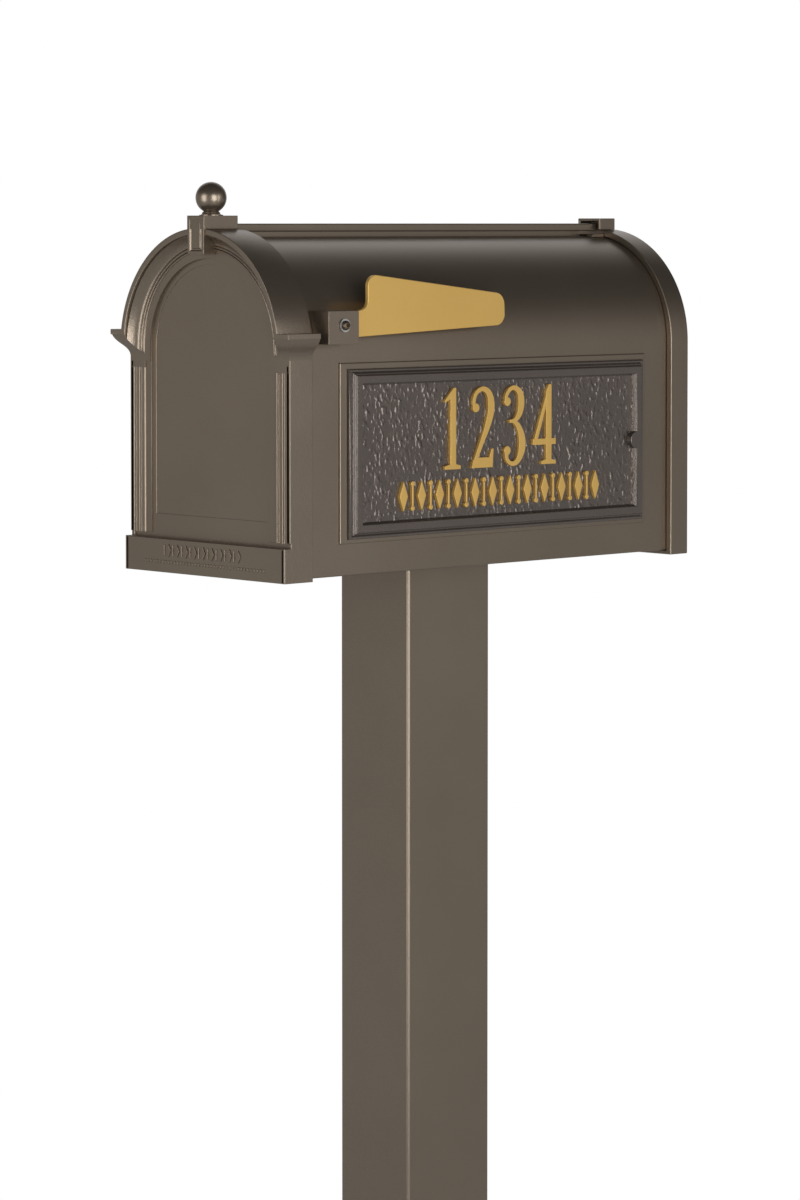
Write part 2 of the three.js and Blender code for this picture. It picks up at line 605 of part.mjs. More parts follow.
// The moulding ends on the capitals' curved front.
function archivolt() {
  const reach = RING_R + 10;
  const whole = archSweep(archivoltSection(), CAP_BOTTOM - 4);
  const front = alongX(capitalShape(CAP_BACK, 0, -CAP_REACH_Y), -reach, reach, 4);
  const under = cut(block(-reach, reach, -40, 0, CAP_BOTTOM - 20, CAP_FILLET), front);
  return cut(whole, under.translate([0, 0, -0.4]));
}

function pilaster(side) {
  const inner = HALF - PILASTER_W;
  const bottom = BASE_H + BASE_GROOVE;
  const flutes = FLUTE.places.map((x) => rod(FLUTE.r, FLUTE.length, '+z', inner + x, -0.4, bottom - 1, 10));
  const body = joined(
    cut(block(inner, HALF, 0, PANEL_Y + 1, bottom, CAP_BOTTOM + 1), ...flutes),
    block(FIELD_R + 0.5, inner + 1, 1.5, PANEL_Y + 1, bottom, CAP_BOTTOM - 2),
    block(HALF - FLANGE_WALL, HALF, PANEL_Y, COLLAR_BACK, DOOR_BOTTOM, CAP_TOP - 2));
  return mirrored(body, side);
}

function doorCasting() {
  const reach = HALF + 10;
  const plate = alongY(archShape(RING_R - 1, DOOR_BOTTOM), PANEL_Y, PANEL_BACK);
  const skirt = block(-HALF, HALF, PANEL_Y, PANEL_BACK, DOOR_BOTTOM, CAP_TOP - 2);
  const base = block(-HALF, HALF, -BASE_REACH, PANEL_Y + 1, DOOR_BOTTOM, BASE_H);
  const whole = joined(plate, skirt, base, archivolt(),
    pilaster(1), pilaster(-1), capital(1), capital(-1));
  const room = alongY(archShape(RING_R - RING_WALL - GAP, DOOR_BOTTOM - 1), PANEL_BACK, COLLAR_BACK + 10);
  const keySeat = joined(
    block(-KEYSTONE.half - GAP, KEYSTONE.half + GAP, -40, 0, KEYSTONE.bottom - GAP, ARCH_Z + RING_R + 5),
    block(-KEYSTONE.half - GAP, KEYSTONE.half + GAP, -40, 60, KEYSTONE.slabBottom - GAP, 400));
  return trimmed(cut(whole, room, keySeat,
    drilled(PIN_R, '+x', 0, PIVOT_Y, PIVOT_Z, 2 * (HALF - 2)),
    ...[-1, 1].map((side) => rod(STRIKE_SCREW.r + GAP, 8, '-y',
      side * STRIKE_SCREW.x, PANEL_BACK + 5, STRIKE_Z))));
}

// A wedge-shaped keystone with a slab on top, which is the door's pull.
function keystone() {
  const { half, front, bottom, slabBottom, top, back } = KEYSTONE;
  const low = half - 1;
  const body = joined(
    block(-low, low, front, -GAP, bottom, slabBottom + 1),
    block(-half, half, front, back, slabBottom, top));
  const frame = 3.6;
  const inner = frame + 2.2;
  const panel = cut(
    block(-low + frame, low - frame, front - 1, front + 1.2, bottom + frame, top - frame),
    block(-low + inner, low - inner, front - 2, front + 2, bottom + inner, top - inner));
  return cut(body, panel, rod(4 + GAP, 8, '-z', 0, FINIAL.y, top + 1));
}

// A ball on a flared neck, with a threaded stud below.
function finial() {
  const { r, y, z, neckR } = FINIAL;
  const seat = KEYSTONE.top + GAP - z;
  const start = Math.asin(neckR * 0.82 / r);
  const arc = Array.from({ length: 9 }, (_, i) => {
    const angle = start + (Math.PI - start) * i / 8;
    return [Math.max(0, r * Math.sin(angle)), -r * Math.cos(angle)];
  });
  arc[arc.length - 1][0] = 0;
  return turned([
    [0, seat - 6], [4, seat - 6], [4, seat], [neckR + 3, seat], [neckR + 2.6, seat + 1.2],
    [neckR, seat + 2.6], ...arc,
  ], '+z', 0, y, z, 20);
}

function hingeBush(side) {
  const wall = BODY_R - BODY_WALL;
  const bush = joined(
    rod(BUSH_R, 12, '+x', wall - 6, PIVOT_Y, PIVOT_Z, 16),
    rod(BUSH_R + 2, 3.2, '+x', BODY_R + GAP, PIVOT_Y, PIVOT_Z, 16));
  return mirrored(cut(bush, rod(PIN_R + GAP, 60, '+x', wall - 30, PIVOT_Y, PIVOT_Z)), side);
}

// The pin in the door's flange, with a groove near its inner end for the spring clip.
function hingePin() {
  const pin = rod(PIN_R, HALF - 2 - 0.4 - CLIP.pinStart, '+x', CLIP.pinStart, PIVOT_Y, PIVOT_Z);
  const groove = cut(
    rod(PIN_R + 1, CLIP.groove, '+x', CLIP.x, PIVOT_Y, PIVOT_Z),
    rod(CLIP.grooveR, 3 * CLIP.groove, '+x', CLIP.x - CLIP.groove, PIVOT_Y, PIVOT_Z));
  return cut(pin, groove);
}

function pinClip() {
  const start = CLIP.x + (CLIP.groove - CLIP.thick) / 2;
  return cut(
    rod(CLIP.r, CLIP.thick, '+x', start, PIVOT_Y, PIVOT_Z, 16),
    rod(CLIP.grooveR + 0.15, 3, '+x', start - 1, PIVOT_Y, PIVOT_Z));
}

function buildDoor() {
  piece(box, 'door_casting', bronze, doorCasting());
  piece(box, 'door_keystone', bronze, keystone());
  piece(box, 'finial_ball', bronze, finial());
  const strike = cut(
    block(-STRIKE.half, STRIKE.half, PANEL_BACK + GAP, PANEL_BACK + GAP + STRIKE.thick, STRIKE.z0, STRIKE.z1),
    ...[-1, 1].map((side) => drilled(STRIKE_SCREW.r, '+y', side * STRIKE_SCREW.x, PANEL_BACK, STRIKE_Z)));
  piece(box, 'door_strike', steel, strike);
  [-1, 1].forEach((side, i) => piece(box, `strike_screw_${i + 1}`, steel,
    panScrew(STRIKE_SCREW.r, STRIKE_SCREW.length, '+y',
      side * STRIKE_SCREW.x, PANEL_BACK + STRIKE.thick + 2 * GAP, STRIKE_Z)));
  [['right', 1], ['left', -1]].forEach(([name, side]) => {
    piece(box, `hinge_pin_${name}`, steel, mirrored(hingePin(), side));
    piece(box, `pin_clip_${name}`, steel, mirrored(pinClip(), side));
    piece(box, `hinge_bush_${name}`, nylon, hingeBush(side));
  });
}

// ---------------------------------------------------------------- magnetic catch

const CATCH = { half: 15, y0: 16, y1: 50, z0: 309 };
const MAGNET = { half: 6, y0: 9.3, y1: 24, z0: 311, z1: 321 };

function buildCatch() {
  const { half, y0, y1, z0 } = CATCH;
  const top = ARCH_Z + Math.sqrt((BODY_R - BODY_WALL) ** 2 - half ** 2) - 2 * GAP;
  const holder = cut(
    block(-half, half, y0, y1, z0, top),
    block(-MAGNET.half, MAGNET.half, y0 - 1, MAGNET.y1, MAGNET.z0, MAGNET.z1),
    drilled(CATCH_SCREW.r, '+z', 0, CATCH_SCREW.y, z0, 2 * THROUGH));
  const magnet = block(-MAGNET.half + GAP, MAGNET.half - GAP, MAGNET.y0, MAGNET.y1 - GAP,
    MAGNET.z0 + GAP, MAGNET.z1 - GAP);
  piece(box, 'catch_holder', nylon, holder);
  piece(box, 'catch_magnet', steel, magnet);
  piece(box, 'catch_screw', darkSteel,
    panScrew(CATCH_SCREW.r, CATCH_SCREW.length, '-z', 0, CATCH_SCREW.y, z0 - GAP));
}

buildPost();
buildBody();
buildRail();
buildPlaques();
buildFlag();
buildDoor();
buildCatch();

export default model;
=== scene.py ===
# %% [markdown]
# # A mailbox on a post
# The object is a curbside mailbox: an arched sheet box with a cast door, a flag, two number plaques, a
# rail along its ridge, and a nearly square post that stands in a bolted foot. The mechanical model is
# loaded first and stays as it is. Around it, this lesson makes the fine surface of every piece that
# shows, one cell at a time.

# %% Load the fixed frame
import math
import bpy
from mathutils import Matrix, Vector


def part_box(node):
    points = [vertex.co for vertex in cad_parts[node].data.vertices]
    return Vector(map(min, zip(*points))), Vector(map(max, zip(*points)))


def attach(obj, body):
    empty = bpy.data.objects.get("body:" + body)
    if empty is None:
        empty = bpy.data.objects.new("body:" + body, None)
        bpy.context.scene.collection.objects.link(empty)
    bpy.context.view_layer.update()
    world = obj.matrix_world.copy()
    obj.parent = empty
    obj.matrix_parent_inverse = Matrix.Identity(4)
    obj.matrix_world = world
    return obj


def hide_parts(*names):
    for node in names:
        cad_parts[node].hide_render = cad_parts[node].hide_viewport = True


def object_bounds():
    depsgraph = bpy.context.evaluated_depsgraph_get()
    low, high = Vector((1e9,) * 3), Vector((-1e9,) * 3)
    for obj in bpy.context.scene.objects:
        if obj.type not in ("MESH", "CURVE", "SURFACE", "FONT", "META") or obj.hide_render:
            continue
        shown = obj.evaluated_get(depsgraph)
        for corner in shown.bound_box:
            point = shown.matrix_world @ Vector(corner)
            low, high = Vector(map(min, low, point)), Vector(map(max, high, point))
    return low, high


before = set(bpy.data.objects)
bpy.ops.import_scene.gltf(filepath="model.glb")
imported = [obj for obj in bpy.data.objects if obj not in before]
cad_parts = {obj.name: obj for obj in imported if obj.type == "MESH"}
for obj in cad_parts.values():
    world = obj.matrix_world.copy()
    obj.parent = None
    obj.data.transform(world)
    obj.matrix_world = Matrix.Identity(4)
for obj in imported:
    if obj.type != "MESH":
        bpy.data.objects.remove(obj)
CAD_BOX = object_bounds()
print("CAD box", [round(v, 4) for corner in CAD_BOX for v in corner])

# %% [markdown]
# ## Measures
# All lengths below are in millimetres, in the box's own corner: X across the door, Y from the face of the
# door towards the back, Z up from the base line of the box. The frame says where that corner is, so
# nothing is placed by eye. One function turns such a place into a point of the scene, in metres.

# %% From millimetres in the box to points in the scene
MM = 0.001
BODY_FRONT = 13
BODY_BOTTOM = -1.6
shell_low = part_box("body_shell")[0]
BOX_CORNER = Vector((0, shell_low.y - BODY_FRONT * MM, shell_low.z - BODY_BOTTOM * MM))


def at(x, y, z):
    return BOX_CORNER + Vector((x, y, z)) * MM


def span(node):
    """A CAD node's lowest and highest corners, in millimetres in the box's corner."""
    return [(corner - BOX_CORNER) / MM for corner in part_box(node)]


print("box corner", [round(v, 4) for v in BOX_CORNER])

# %% [markdown]
# ## Camera
# The box is seen from its front right, from a little above, with a long lens, so that upright edges stay
# almost upright. Part of the downward look is a lens shift and the rest is a slight tilt.

# %% Camera
LENS = 119.68
SENSOR = 36
TURN = math.radians(46.96)
SHIFT = -0.16
HORIZON_RISE = 377.3 / 1200
CAMERA_PLACE = (2983.5, -2529.1, 342.8)

camera_data = bpy.data.cameras.new("camera")
camera_data.lens = LENS
camera_data.sensor_width = SENSOR
camera_data.shift_y = SHIFT
camera_data.clip_end = 50
camera = bpy.data.objects.new("camera", camera_data)
bpy.context.scene.collection.objects.link(camera)
camera.location = at(*CAMERA_PLACE)
tilt = math.atan((HORIZON_RISE + SHIFT) * SENSOR / LENS)
camera.rotation_euler = (math.pi / 2 - tilt, 0, TURN)
bpy.context.scene.camera = camera
print("camera tilt in degrees", round(math.degrees(tilt), 2))

# %% [markdown]
# ## Light
# Two tall soft boxes stand at the camera's height, one to its left and one to its right, as in a product
# studio. A narrow third one, at the box's side, rakes over the plaque, so that its relief shows. Rounded
# edges of painted metal show the lamps as bright lines, with a dark gap between them, and that gap is
# what makes the edge look round. The air around is grey, darker overhead, and lighter behind on the far
# side, where a pale wall is seen again in the ridge of the round top.

# %% Soft boxes, sky and floor
bpy.context.scene.view_settings.view_transform = "Standard"
TARGET = at(0, 280, 120)


def soft_box(name, azimuth, distance, width, height, power, rise=0.0):
    """A rectangular lamp that looks at the box. Azimuth 0 is in front of the door, 90 on the flag's side."""
    lamp = bpy.data.lights.new(name, "AREA")
    lamp.shape = "RECTANGLE"
    lamp.size = width
    lamp.size_y = height
    lamp.energy = power
    thing = bpy.data.objects.new(name, lamp)
    bpy.context.scene.collection.objects.link(thing)
    angle = math.radians(azimuth)
    thing.location = TARGET + Vector((math.sin(angle) * distance, -math.cos(angle) * distance, rise))
    thing.rotation_euler = (TARGET - thing.location).to_track_quat("-Z", "Y").to_euler()
    return thing


soft_box("softbox_left", -4, 3.4, 1.9, 2.5, 40)
soft_box("softbox_right", 69, 3.4, 1.9, 2.5, 54)
soft_box("softbox_side", 106, 3.4, 0.7, 2.5, 16)

bpy.ops.mesh.primitive_plane_add(size=24, location=(0, 0, CAD_BOX[0].z))
floor = bpy.context.object
floor.name = "floor"

# %% [markdown]
# ## Shader sums
# A finish is a sum of patterns. Blender draws such a sum as boxes and wires, which soon is hard to read.
# This small class wraps one output of a box, so that a sum is written as a Python expression, and each
# sign adds the Math node that it stands for. One method adds every other kind of node.

# %% One class for shader expressions
class Wire:
    """One output of a shader node, used like a number in sums."""

    def __init__(self, tree, socket=None):
        self.tree = tree
        self.socket = socket

    def node(self, kind, settings=None, inputs=None, output=0):
        """Adds a node, sets its settings first, then the values or links of its inputs."""
        made = self.tree.nodes.new(kind)
        for name, value in (settings or {}).items():
            if name == "stops":
                ramp = made.color_ramp
                while len(ramp.elements) < len(value):
                    ramp.elements.new(1.0)
                for element, (place, colour) in zip(ramp.elements, value):
                    element.position = place
                    element.color = (*colour, 1)
            else:
                setattr(made, name, value)
        for name, value in (inputs or {}).items():
            if isinstance(value, Wire):
                self.tree.links.new(value.socket, made.inputs[name])
            else:
                made.inputs[name].default_value = value
        return Wire(self.tree, made.outputs[output])

    def math(self, operation, first, second=0.0, clamp=False):
        settings = {"operation": operation, "use_clamp": clamp}
        return self.node("ShaderNodeMath", settings, {0: first, 1: second})

    def __add__(self, other):
        return self.math("ADD", self, other)

    __radd__ = __add__

    def __mul__(self, other):
        return self.math("MULTIPLY", self, other)

    __rmul__ = __mul__

    def __sub__(self, other):
        return self.math("SUBTRACT", self, other)

    def __rsub__(self, other):
        return self.math("SUBTRACT", other, self)

    def steps(self, low, high):
        """0 below low, 1 above high, and a smooth rise between."""
        settings = {"interpolation_type": "SMOOTHSTEP"}
        return self.node("ShaderNodeMapRange", settings,
                         {"Value": self, "From Min": low, "From Max": high})

    def mix(self, low, high):
        """The colour low where this is 0 and high where it is 1."""
        return self.node("ShaderNodeMix", {"data_type": "RGBA"},
                         {0: self, 6: low, 7: high}, 2)


def linear(red, green, blue):
    """A colour as it is seen on a screen, 0 to 255, in the linear form that shaders take."""
    def channel(value):
        share = value / 255
        return share / 12.92 if share <= 0.04045 else ((share + 0.055) / 1.055) ** 2.4

    return (channel(red), channel(green), channel(blue), 1)


print("bronze in linear light", [round(v, 3) for v in linear(98, 91, 82)])

# %% Sky and floor
world = bpy.data.worlds.new("studio")
bpy.context.scene.world = world
world.use_nodes = True
sky = world.node_tree
sky.nodes.clear()
sky_wire = Wire(sky)
direction = sky_wire.node("ShaderNodeTexCoord", output="Generated")
right, backwards, up = [sky_wire.node("ShaderNodeSeparateXYZ", None, {0: direction}, axis) for axis in "XYZ"]
ceiling = up.steps(0.08, 0.55).mix((0.345, 0.335, 0.33, 1), (0.04, 0.04, 0.04, 1))
far_left = (0.0 - right).steps(-0.1, 0.6) * backwards.steps(-0.1, 0.4) * (1.0 - up.steps(0.6, 0.85))
deep_back = backwards.steps(0.72, 0.9)
ceiling = deep_back.mix(ceiling, (0.05, 0.05, 0.05, 1))
room_tone = far_left.mix(ceiling, (0.72, 0.72, 0.74, 1))
seen = sky_wire.node("ShaderNodeLightPath", output="Is Camera Ray")
backdrop = seen.mix(room_tone, (1, 1, 1, 1))
air = sky_wire.node("ShaderNodeBackground", None, {"Color": backdrop, "Strength": 1.0})
sky.links.new(air.socket, sky.nodes.new("ShaderNodeOutputWorld").inputs["Surface"])

paper = bpy.data.materials.new("floor_paper")
paper.use_nodes = True
paper_tree = paper.node_tree
paper_wire = Wire(paper_tree)
grain = paper_wire.node("ShaderNodeTexNoise", None,
                        {"Vector": paper_wire.node("ShaderNodeTexCoord", output="Object"), "Scale": 40.0})
paper_shader = paper_tree.nodes["Principled BSDF"]
tone = grain.mix(linear(236, 236, 234), linear(244, 244, 242))
paper_tree.links.new(tone.socket, paper_shader.inputs["Base Color"])
paper_shader.inputs["Roughness"].default_value = 0.9
floor_place = paper_wire.node("ShaderNodeTexCoord", output="Object")
distance = paper_wire.node("ShaderNodeVectorMath", {"operation": "LENGTH"}, {0: floor_place}, "Value")
floor_seen = paper_wire.node("ShaderNodeLightPath", output="Is Camera Ray")
glow = paper_wire.node("ShaderNodeEmission", None,
                       {"Color": (1, 1, 1, 1), "Strength": floor_seen * 0.66 + 0.34})
faded = paper_wire.node("ShaderNodeMixShader", None, {
    0: distance.steps(0.5, 1.5),
    1: Wire(paper_tree, paper_shader.outputs["BSDF"]),
    2: glow})
paper_tree.links.new(faded.socket, paper_tree.nodes["Material Output"].inputs["Surface"])
floor.data.materials.append(paper)

# %% [markdown]
# ## Finishes
# The castings, the sheet and the post share one bronze paint: a dark brown lacquer full of fine metal
# flakes. Flakes make it mostly metallic, and give it a slight sparkle. Its surface is not quite flat: a
# cast and sprayed skin has a fine orange peel. The same function makes every paint, with its own colour,
# gloss, share of metal and peel.

# %% Painted metal
FLAKE_SCALE = 2600.0
CLOUD_SCALE = 9.0


def new_material(name):
    material = bpy.data.materials.new(name)
    material.use_nodes = True
    tree = material.node_tree
    return material, tree, tree.nodes["Principled BSDF"], Wire(tree)


def link(tree, wire, shader, socket):
    tree.links.new(wire.socket, shader.inputs[socket])


def paint(name, dark, light, metallic, gloss, peel, peel_size, coat=0.0):
    """Paint with flakes. gloss is (smoothest, roughest), peel a depth and peel_size its pitch."""
    material, tree, shader, wire = new_material(name)
    place = wire.node("ShaderNodeTexCoord", output="Object")
    flakes = wire.node("ShaderNodeTexNoise", None, {"Vector": place, "Scale": FLAKE_SCALE, "Detail": 2.0})
    clouds = wire.node("ShaderNodeTexNoise", None, {"Vector": place, "Scale": CLOUD_SCALE, "Detail": 3.0})
    waves = wire.node("ShaderNodeTexNoise", None,
                      {"Vector": place, "Scale": 1 / (peel_size * MM), "Detail": 1.5})
    sparkle = flakes.steps(0.35, 0.75)
    colour = (sparkle * 0.6 + clouds * 0.4).mix(dark, light)
    link(tree, colour, shader, "Base Color")
    smooth, rough = gloss
    link(tree, clouds * (rough - smooth) + smooth, shader, "Roughness")
    shader.inputs["Metallic"].default_value = metallic
    shader.inputs["Coat Weight"].default_value = coat
    shader.inputs["Coat Roughness"].default_value = 0.12
    bump = wire.node("ShaderNodeBump", None,
                     {"Height": waves, "Distance": peel * MM, "Strength": 1.0})
    link(tree, bump, shader, "Normal")
    return material


BRONZE_DARK = linear(134, 121, 107)
BRONZE_LIGHT = linear(156, 144, 129)
BRONZE_GLOSS = (0.27, 0.33)
BRONZE = paint("bronze_lacquer", BRONZE_DARK, BRONZE_LIGHT, 0.85, BRONZE_GLOSS, 0.05, 1.6)
CAST_BRONZE = paint("bronze_lacquer_cast", BRONZE_DARK, BRONZE_LIGHT, 0.85, BRONZE_GLOSS, 0.12, 1.9)
PLAQUE_BRONZE = paint("plaque_lacquer", linear(102, 93, 87), linear(126, 116, 109), 0.75,
                      (0.22, 0.30), 0.18, 2.0, coat=0.6)
GOLD = paint("gold_lacquer", linear(218, 174, 92), linear(238, 198, 114), 0.4, (0.34, 0.42), 0.06, 1.2)
DARK_SCREW = paint("screw_lacquer", linear(84, 72, 58), linear(120, 104, 84), 0.8, (0.28, 0.4), 0.03, 0.8)
NYLON = paint("nylon_black", linear(28, 27, 26), linear(44, 43, 41), 0.0, (0.5, 0.62), 0.05, 0.7)
print("paints", [m.name for m in bpy.data.materials])

# %% [markdown]
# Zinc plating on steel is a bright, slightly cloudy silver, with fine marks of the drawing and rolling of
# the metal. Two noises at different scales give its clouds and its marks.

# %% Zinc plated steel
def zinc():
    material, tree, shader, wire = new_material("zinc_plate")
    place = wire.node("ShaderNodeTexCoord", output="Object")
    clouds = wire.node("ShaderNodeTexVoronoi", {"feature": "SMOOTH_F1"},
                       {"Vector": place, "Scale": 180.0}, "Distance")
    marks = wire.node("ShaderNodeTexNoise", None, {"Vector": place, "Scale": 900.0, "Detail": 4.0})
    link(tree, clouds.mix(linear(176, 178, 180), linear(202, 202, 198)), shader, "Base Color")
    link(tree, marks * 0.2 + clouds * 0.15 + 0.22, shader, "Roughness")
    shader.inputs["Metallic"].default_value = 1.0
    bump = wire.node("ShaderNodeBump", None, {"Height": marks, "Distance": 0.02 * MM, "Strength": 1.0})
    link(tree, bump, shader, "Normal")
    return material


ZINC = zinc()

# %% [markdown]
# ## Drawing and pulling
# Most of these pieces are an outline with a depth, as a casting or a folded sheet is. By hand, one would
# start from a single point, extrude it from corner to corner, fill the outline and pull it out. These
# helpers do the same with the same operators. Every outline is a list of places in millimetres, with arcs
# made by a formula.

# %% Outlines
def arc(x, y, radius, start, end, steps):
    """Points on a circle, from one angle in degrees to another."""
    angles = [math.radians(start + (end - start) * i / steps) for i in range(steps + 1)]
    return [(x + radius * math.cos(a), y + radius * math.sin(a)) for a in angles]


def rounded(low, high, radius, steps=8):
    """A rectangle with round corners, given its lowest and highest corner."""
    (x0, y0), (x1, y1) = low, high
    return (arc(x1 - radius, y1 - radius, radius, 0, 90, steps)
            + arc(x0 + radius, y1 - radius, radius, 90, 180, steps)
            + arc(x0 + radius, y0 + radius, radius, 180, 270, steps)
            + arc(x1 - radius, y0 + radius, radius, 270, 360, steps))


ARCH_Z = 218
ARCH_STEPS = 96


def arch(radius, bottom, corner=0.0):
    """A half circle on two straight legs, with slightly rounded lower corners if asked."""
    feet = [(-radius, bottom), (radius, bottom)]
    if corner:
        feet = (arc(-radius + corner, bottom + corner, corner, 180, 270, 4)
                + arc(radius - corner, bottom + corner, corner, 270, 360, 4))
    return feet + arc(0, ARCH_Z, radius, 0, 180, ARCH_STEPS)


print("arch outline has", len(arch(111, 0)), "points")

# %% Selecting, drawing, pulling
PLACES = {
    "X": lambda level, u, v: at(level, u, v),
    "Y": lambda level, u, v: at(u, level, v),
    "Z": lambda level, u, v: at(u, v, level),
}
STEPS = {"X": Vector((MM, 0, 0)), "Y": Vector((0, MM, 0)), "Z": Vector((0, 0, MM))}


def choose(piece):
    """Selects one piece alone and makes it active."""
    bpy.ops.object.select_all(action="DESELECT")
    piece.select_set(True)
    bpy.context.view_layer.objects.active = piece


def editing(piece, everything=True):
    choose(piece)
    bpy.ops.object.mode_set(mode="EDIT")
    bpy.ops.mesh.select_mode(type="FACE" if len(piece.data.polygons) else "VERT")
    bpy.ops.mesh.select_all(action="SELECT" if everything else "DESELECT")


def done_editing(recalculate=True):
    if recalculate:
        bpy.ops.mesh.select_all(action="SELECT")
        bpy.ops.mesh.remove_doubles(threshold=0.002 * MM)
        bpy.ops.mesh.normals_make_consistent(inside=False)
    bpy.ops.object.mode_set(mode="OBJECT")


def pick_faces(piece, test):
    """Selects the faces whose centre (in millimetres in the box's corner) and normal pass the test."""
    for kind in (piece.data.vertices, piece.data.edges):
        kind.foreach_set("select", [False] * len(kind))
    for face in piece.data.polygons:
        face.select = bool(test((face.center - BOX_CORNER) / MM, face.normal))
    choose(piece)
    bpy.ops.object.mode_set(mode="EDIT")
    bpy.ops.mesh.select_mode(type="FACE")


def draw(name, points, filled=True):
    """An outline drawn corner by corner from a plane merged to one point."""
    bpy.ops.object.select_all(action="DESELECT")
    bpy.ops.mesh.primitive_plane_add(size=MM)
    piece = bpy.context.object
    piece.name = name
    bpy.ops.object.mode_set(mode="EDIT")
    bpy.ops.mesh.select_all(action="SELECT")
    bpy.ops.mesh.merge(type="CENTER")
    bpy.ops.mesh.select_mode(type="VERT")
    bpy.ops.mesh.select_all(action="SELECT")
    bpy.ops.transform.translate(value=points[0])
    for here, there in zip(points, points[1:]):
        bpy.ops.mesh.extrude_region_move(TRANSFORM_OT_translate={"value": there - here})
    bpy.ops.mesh.select_all(action="SELECT")
    if filled:
        bpy.ops.mesh.edge_face_add()
    bpy.ops.object.mode_set(mode="OBJECT")
    return piece


def prism(name, outline, axis, low, high):
    """An outline in the two other axes, pulled from low to high along the axis."""
    piece = draw(name, [PLACES[axis](low, u, v) for u, v in outline])
    editing(piece)
    bpy.ops.mesh.extrude_region_move(TRANSFORM_OT_translate={"value": STEPS[axis] * (high - low)})
    done_editing()
    return piece


def sheet_tube(name, outline, axis, low, high, wall):
    """The same outline as bent sheet: a tube without ends, with its wall inside the outline."""
    piece = draw(name, [PLACES[axis](low, u, v) for u, v in [*outline, outline[0]]], filled=False)
    editing(piece)
    bpy.ops.mesh.select_mode(type="EDGE")
    bpy.ops.mesh.select_all(action="SELECT")
    bpy.ops.mesh.extrude_region_move(TRANSFORM_OT_translate={"value": STEPS[axis] * (high - low)})
    done_editing()
    bpy.ops.object.modifier_add(type="SOLIDIFY")
    sheet = piece.modifiers[-1]
    sheet.thickness = wall * MM
    sheet.offset = -1
    bpy.ops.object.modifier_apply(modifier=sheet.name)
    return piece


def box_of(name, low, high):
    """A cube primitive at its size and place."""
    bpy.ops.object.select_all(action="DESELECT")
    bpy.ops.mesh.primitive_cube_add(size=1)
    piece = bpy.context.object
    piece.name = name
    piece.scale = [(b - a) * MM for a, b in zip(low, high)]
    piece.location = at(*[(a + b) / 2 for a, b in zip(low, high)])
    bpy.ops.object.transform_apply(location=True, rotation=True, scale=True)
    return piece


TURN_AXES = {"X": (1, 0, 0), "Y": (0, 1, 0), "Z": (0, 0, 1)}


def turned(name, profile, axis, centre, steps=32):
    """A profile of (radius, height) points spun about an axis through the centre, closed at both ends."""
    x, y, z = centre
    places = {
        "X": lambda r, h: at(x + h, y + r, z),
        "Y": lambda r, h: at(x + r, y + h, z),
        "Z": lambda r, h: at(x + r, y, z + h),
    }[axis]
    piece = draw(name, [places(r, h) for r, h in profile], filled=False)
    editing(piece)
    bpy.ops.mesh.spin(steps=steps, angle=2 * math.pi, center=at(*centre), axis=TURN_AXES[axis])
    done_editing()
    return piece


# %% Cutting, joining, softening, fitting
def boolean(piece, tool, operation="DIFFERENCE"):
    choose(piece)
    bpy.ops.object.modifier_add(type="BOOLEAN")
    step = piece.modifiers[-1]
    step.operation = operation
    step.object = tool
    step.solver = "EXACT"
    bpy.ops.object.modifier_apply(modifier=step.name)
    bpy.data.objects.remove(tool)
    return piece


def shade(piece, angle=32):
    """Shades curved faces smooth and leaves the edges sharper than the angle."""
    choose(piece)
    bpy.ops.object.shade_smooth_by_angle(angle=math.radians(angle))
    return piece


def soften(piece, width, segments=2, angle=35):
    """Rounds the sharp edges, shades the rest smooth, and keeps flat faces looking flat."""
    choose(piece)
    if width:
        bpy.ops.object.modifier_add(type="BEVEL")
        edge = piece.modifiers[-1]
        edge.width = width * MM
        edge.segments = segments
        edge.limit_method = "ANGLE"
        edge.angle_limit = math.radians(angle)
        bpy.ops.object.modifier_apply(modifier=edge.name)
    bpy.ops.object.shade_smooth_by_angle(angle=math.radians(40))
    bpy.ops.object.modifier_add(type="WEIGHTED_NORMAL")
    weight = piece.modifiers[-1]
    weight.keep_sharp = True
    bpy.ops.object.modifier_apply(modifier=weight.name)
    return piece


def join(name, pieces):
    choose(pieces[0])
    for piece in pieces[1:]:
        piece.select_set(True)
    bpy.ops.object.join()
    whole = bpy.context.object
    whole.name = name
    return whole


def mirror_copy(piece, name):
    """A copy on the other side of the box's middle plane, its faces turned back to the outside."""
    choose(piece)
    bpy.ops.object.duplicate()
    copy = bpy.context.object
    copy.name = name
    copy.scale.x = -1
    bpy.ops.object.transform_apply(location=False, rotation=False, scale=True)
    bpy.ops.object.mode_set(mode="EDIT")
    bpy.ops.mesh.select_all(action="SELECT")
    bpy.ops.mesh.normals_make_consistent(inside=False)
    bpy.ops.object.mode_set(mode="OBJECT")
    return copy


def fit(piece, body, slot, finish, *nodes):
    """Gives a finished piece its paint and its body, and hides the CAD nodes that it stands for."""
    piece.data.materials.clear()
    piece.data.materials.append(finish)
    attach(piece, body)
    if nodes:
        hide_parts(*nodes)
    size = [round(v / MM, 1) for v in piece.dimensions]
    print(piece.name, "size in mm", size, "faces", len(piece.data.polygons))
    return piece


# %% [markdown]
# ## The body
# The body is one bent sheet: a floor, two sides and a round top. It is drawn as an outline, pulled along
# its length and given the thickness of the sheet. Each side has a low raised pad, pressed out of the
# sheet, that the number plaque sits on. Its edge is soft, so it shows as one thin bright line.

# %% Body sheet with its pads
BODY_R = 111
BODY_REAR = 556.6
SHEET = 3
PAD_LOW = (71.5, 29.6)
PAD_HIGH = (501.5, 206.5)
PAD_HEIGHT = 2

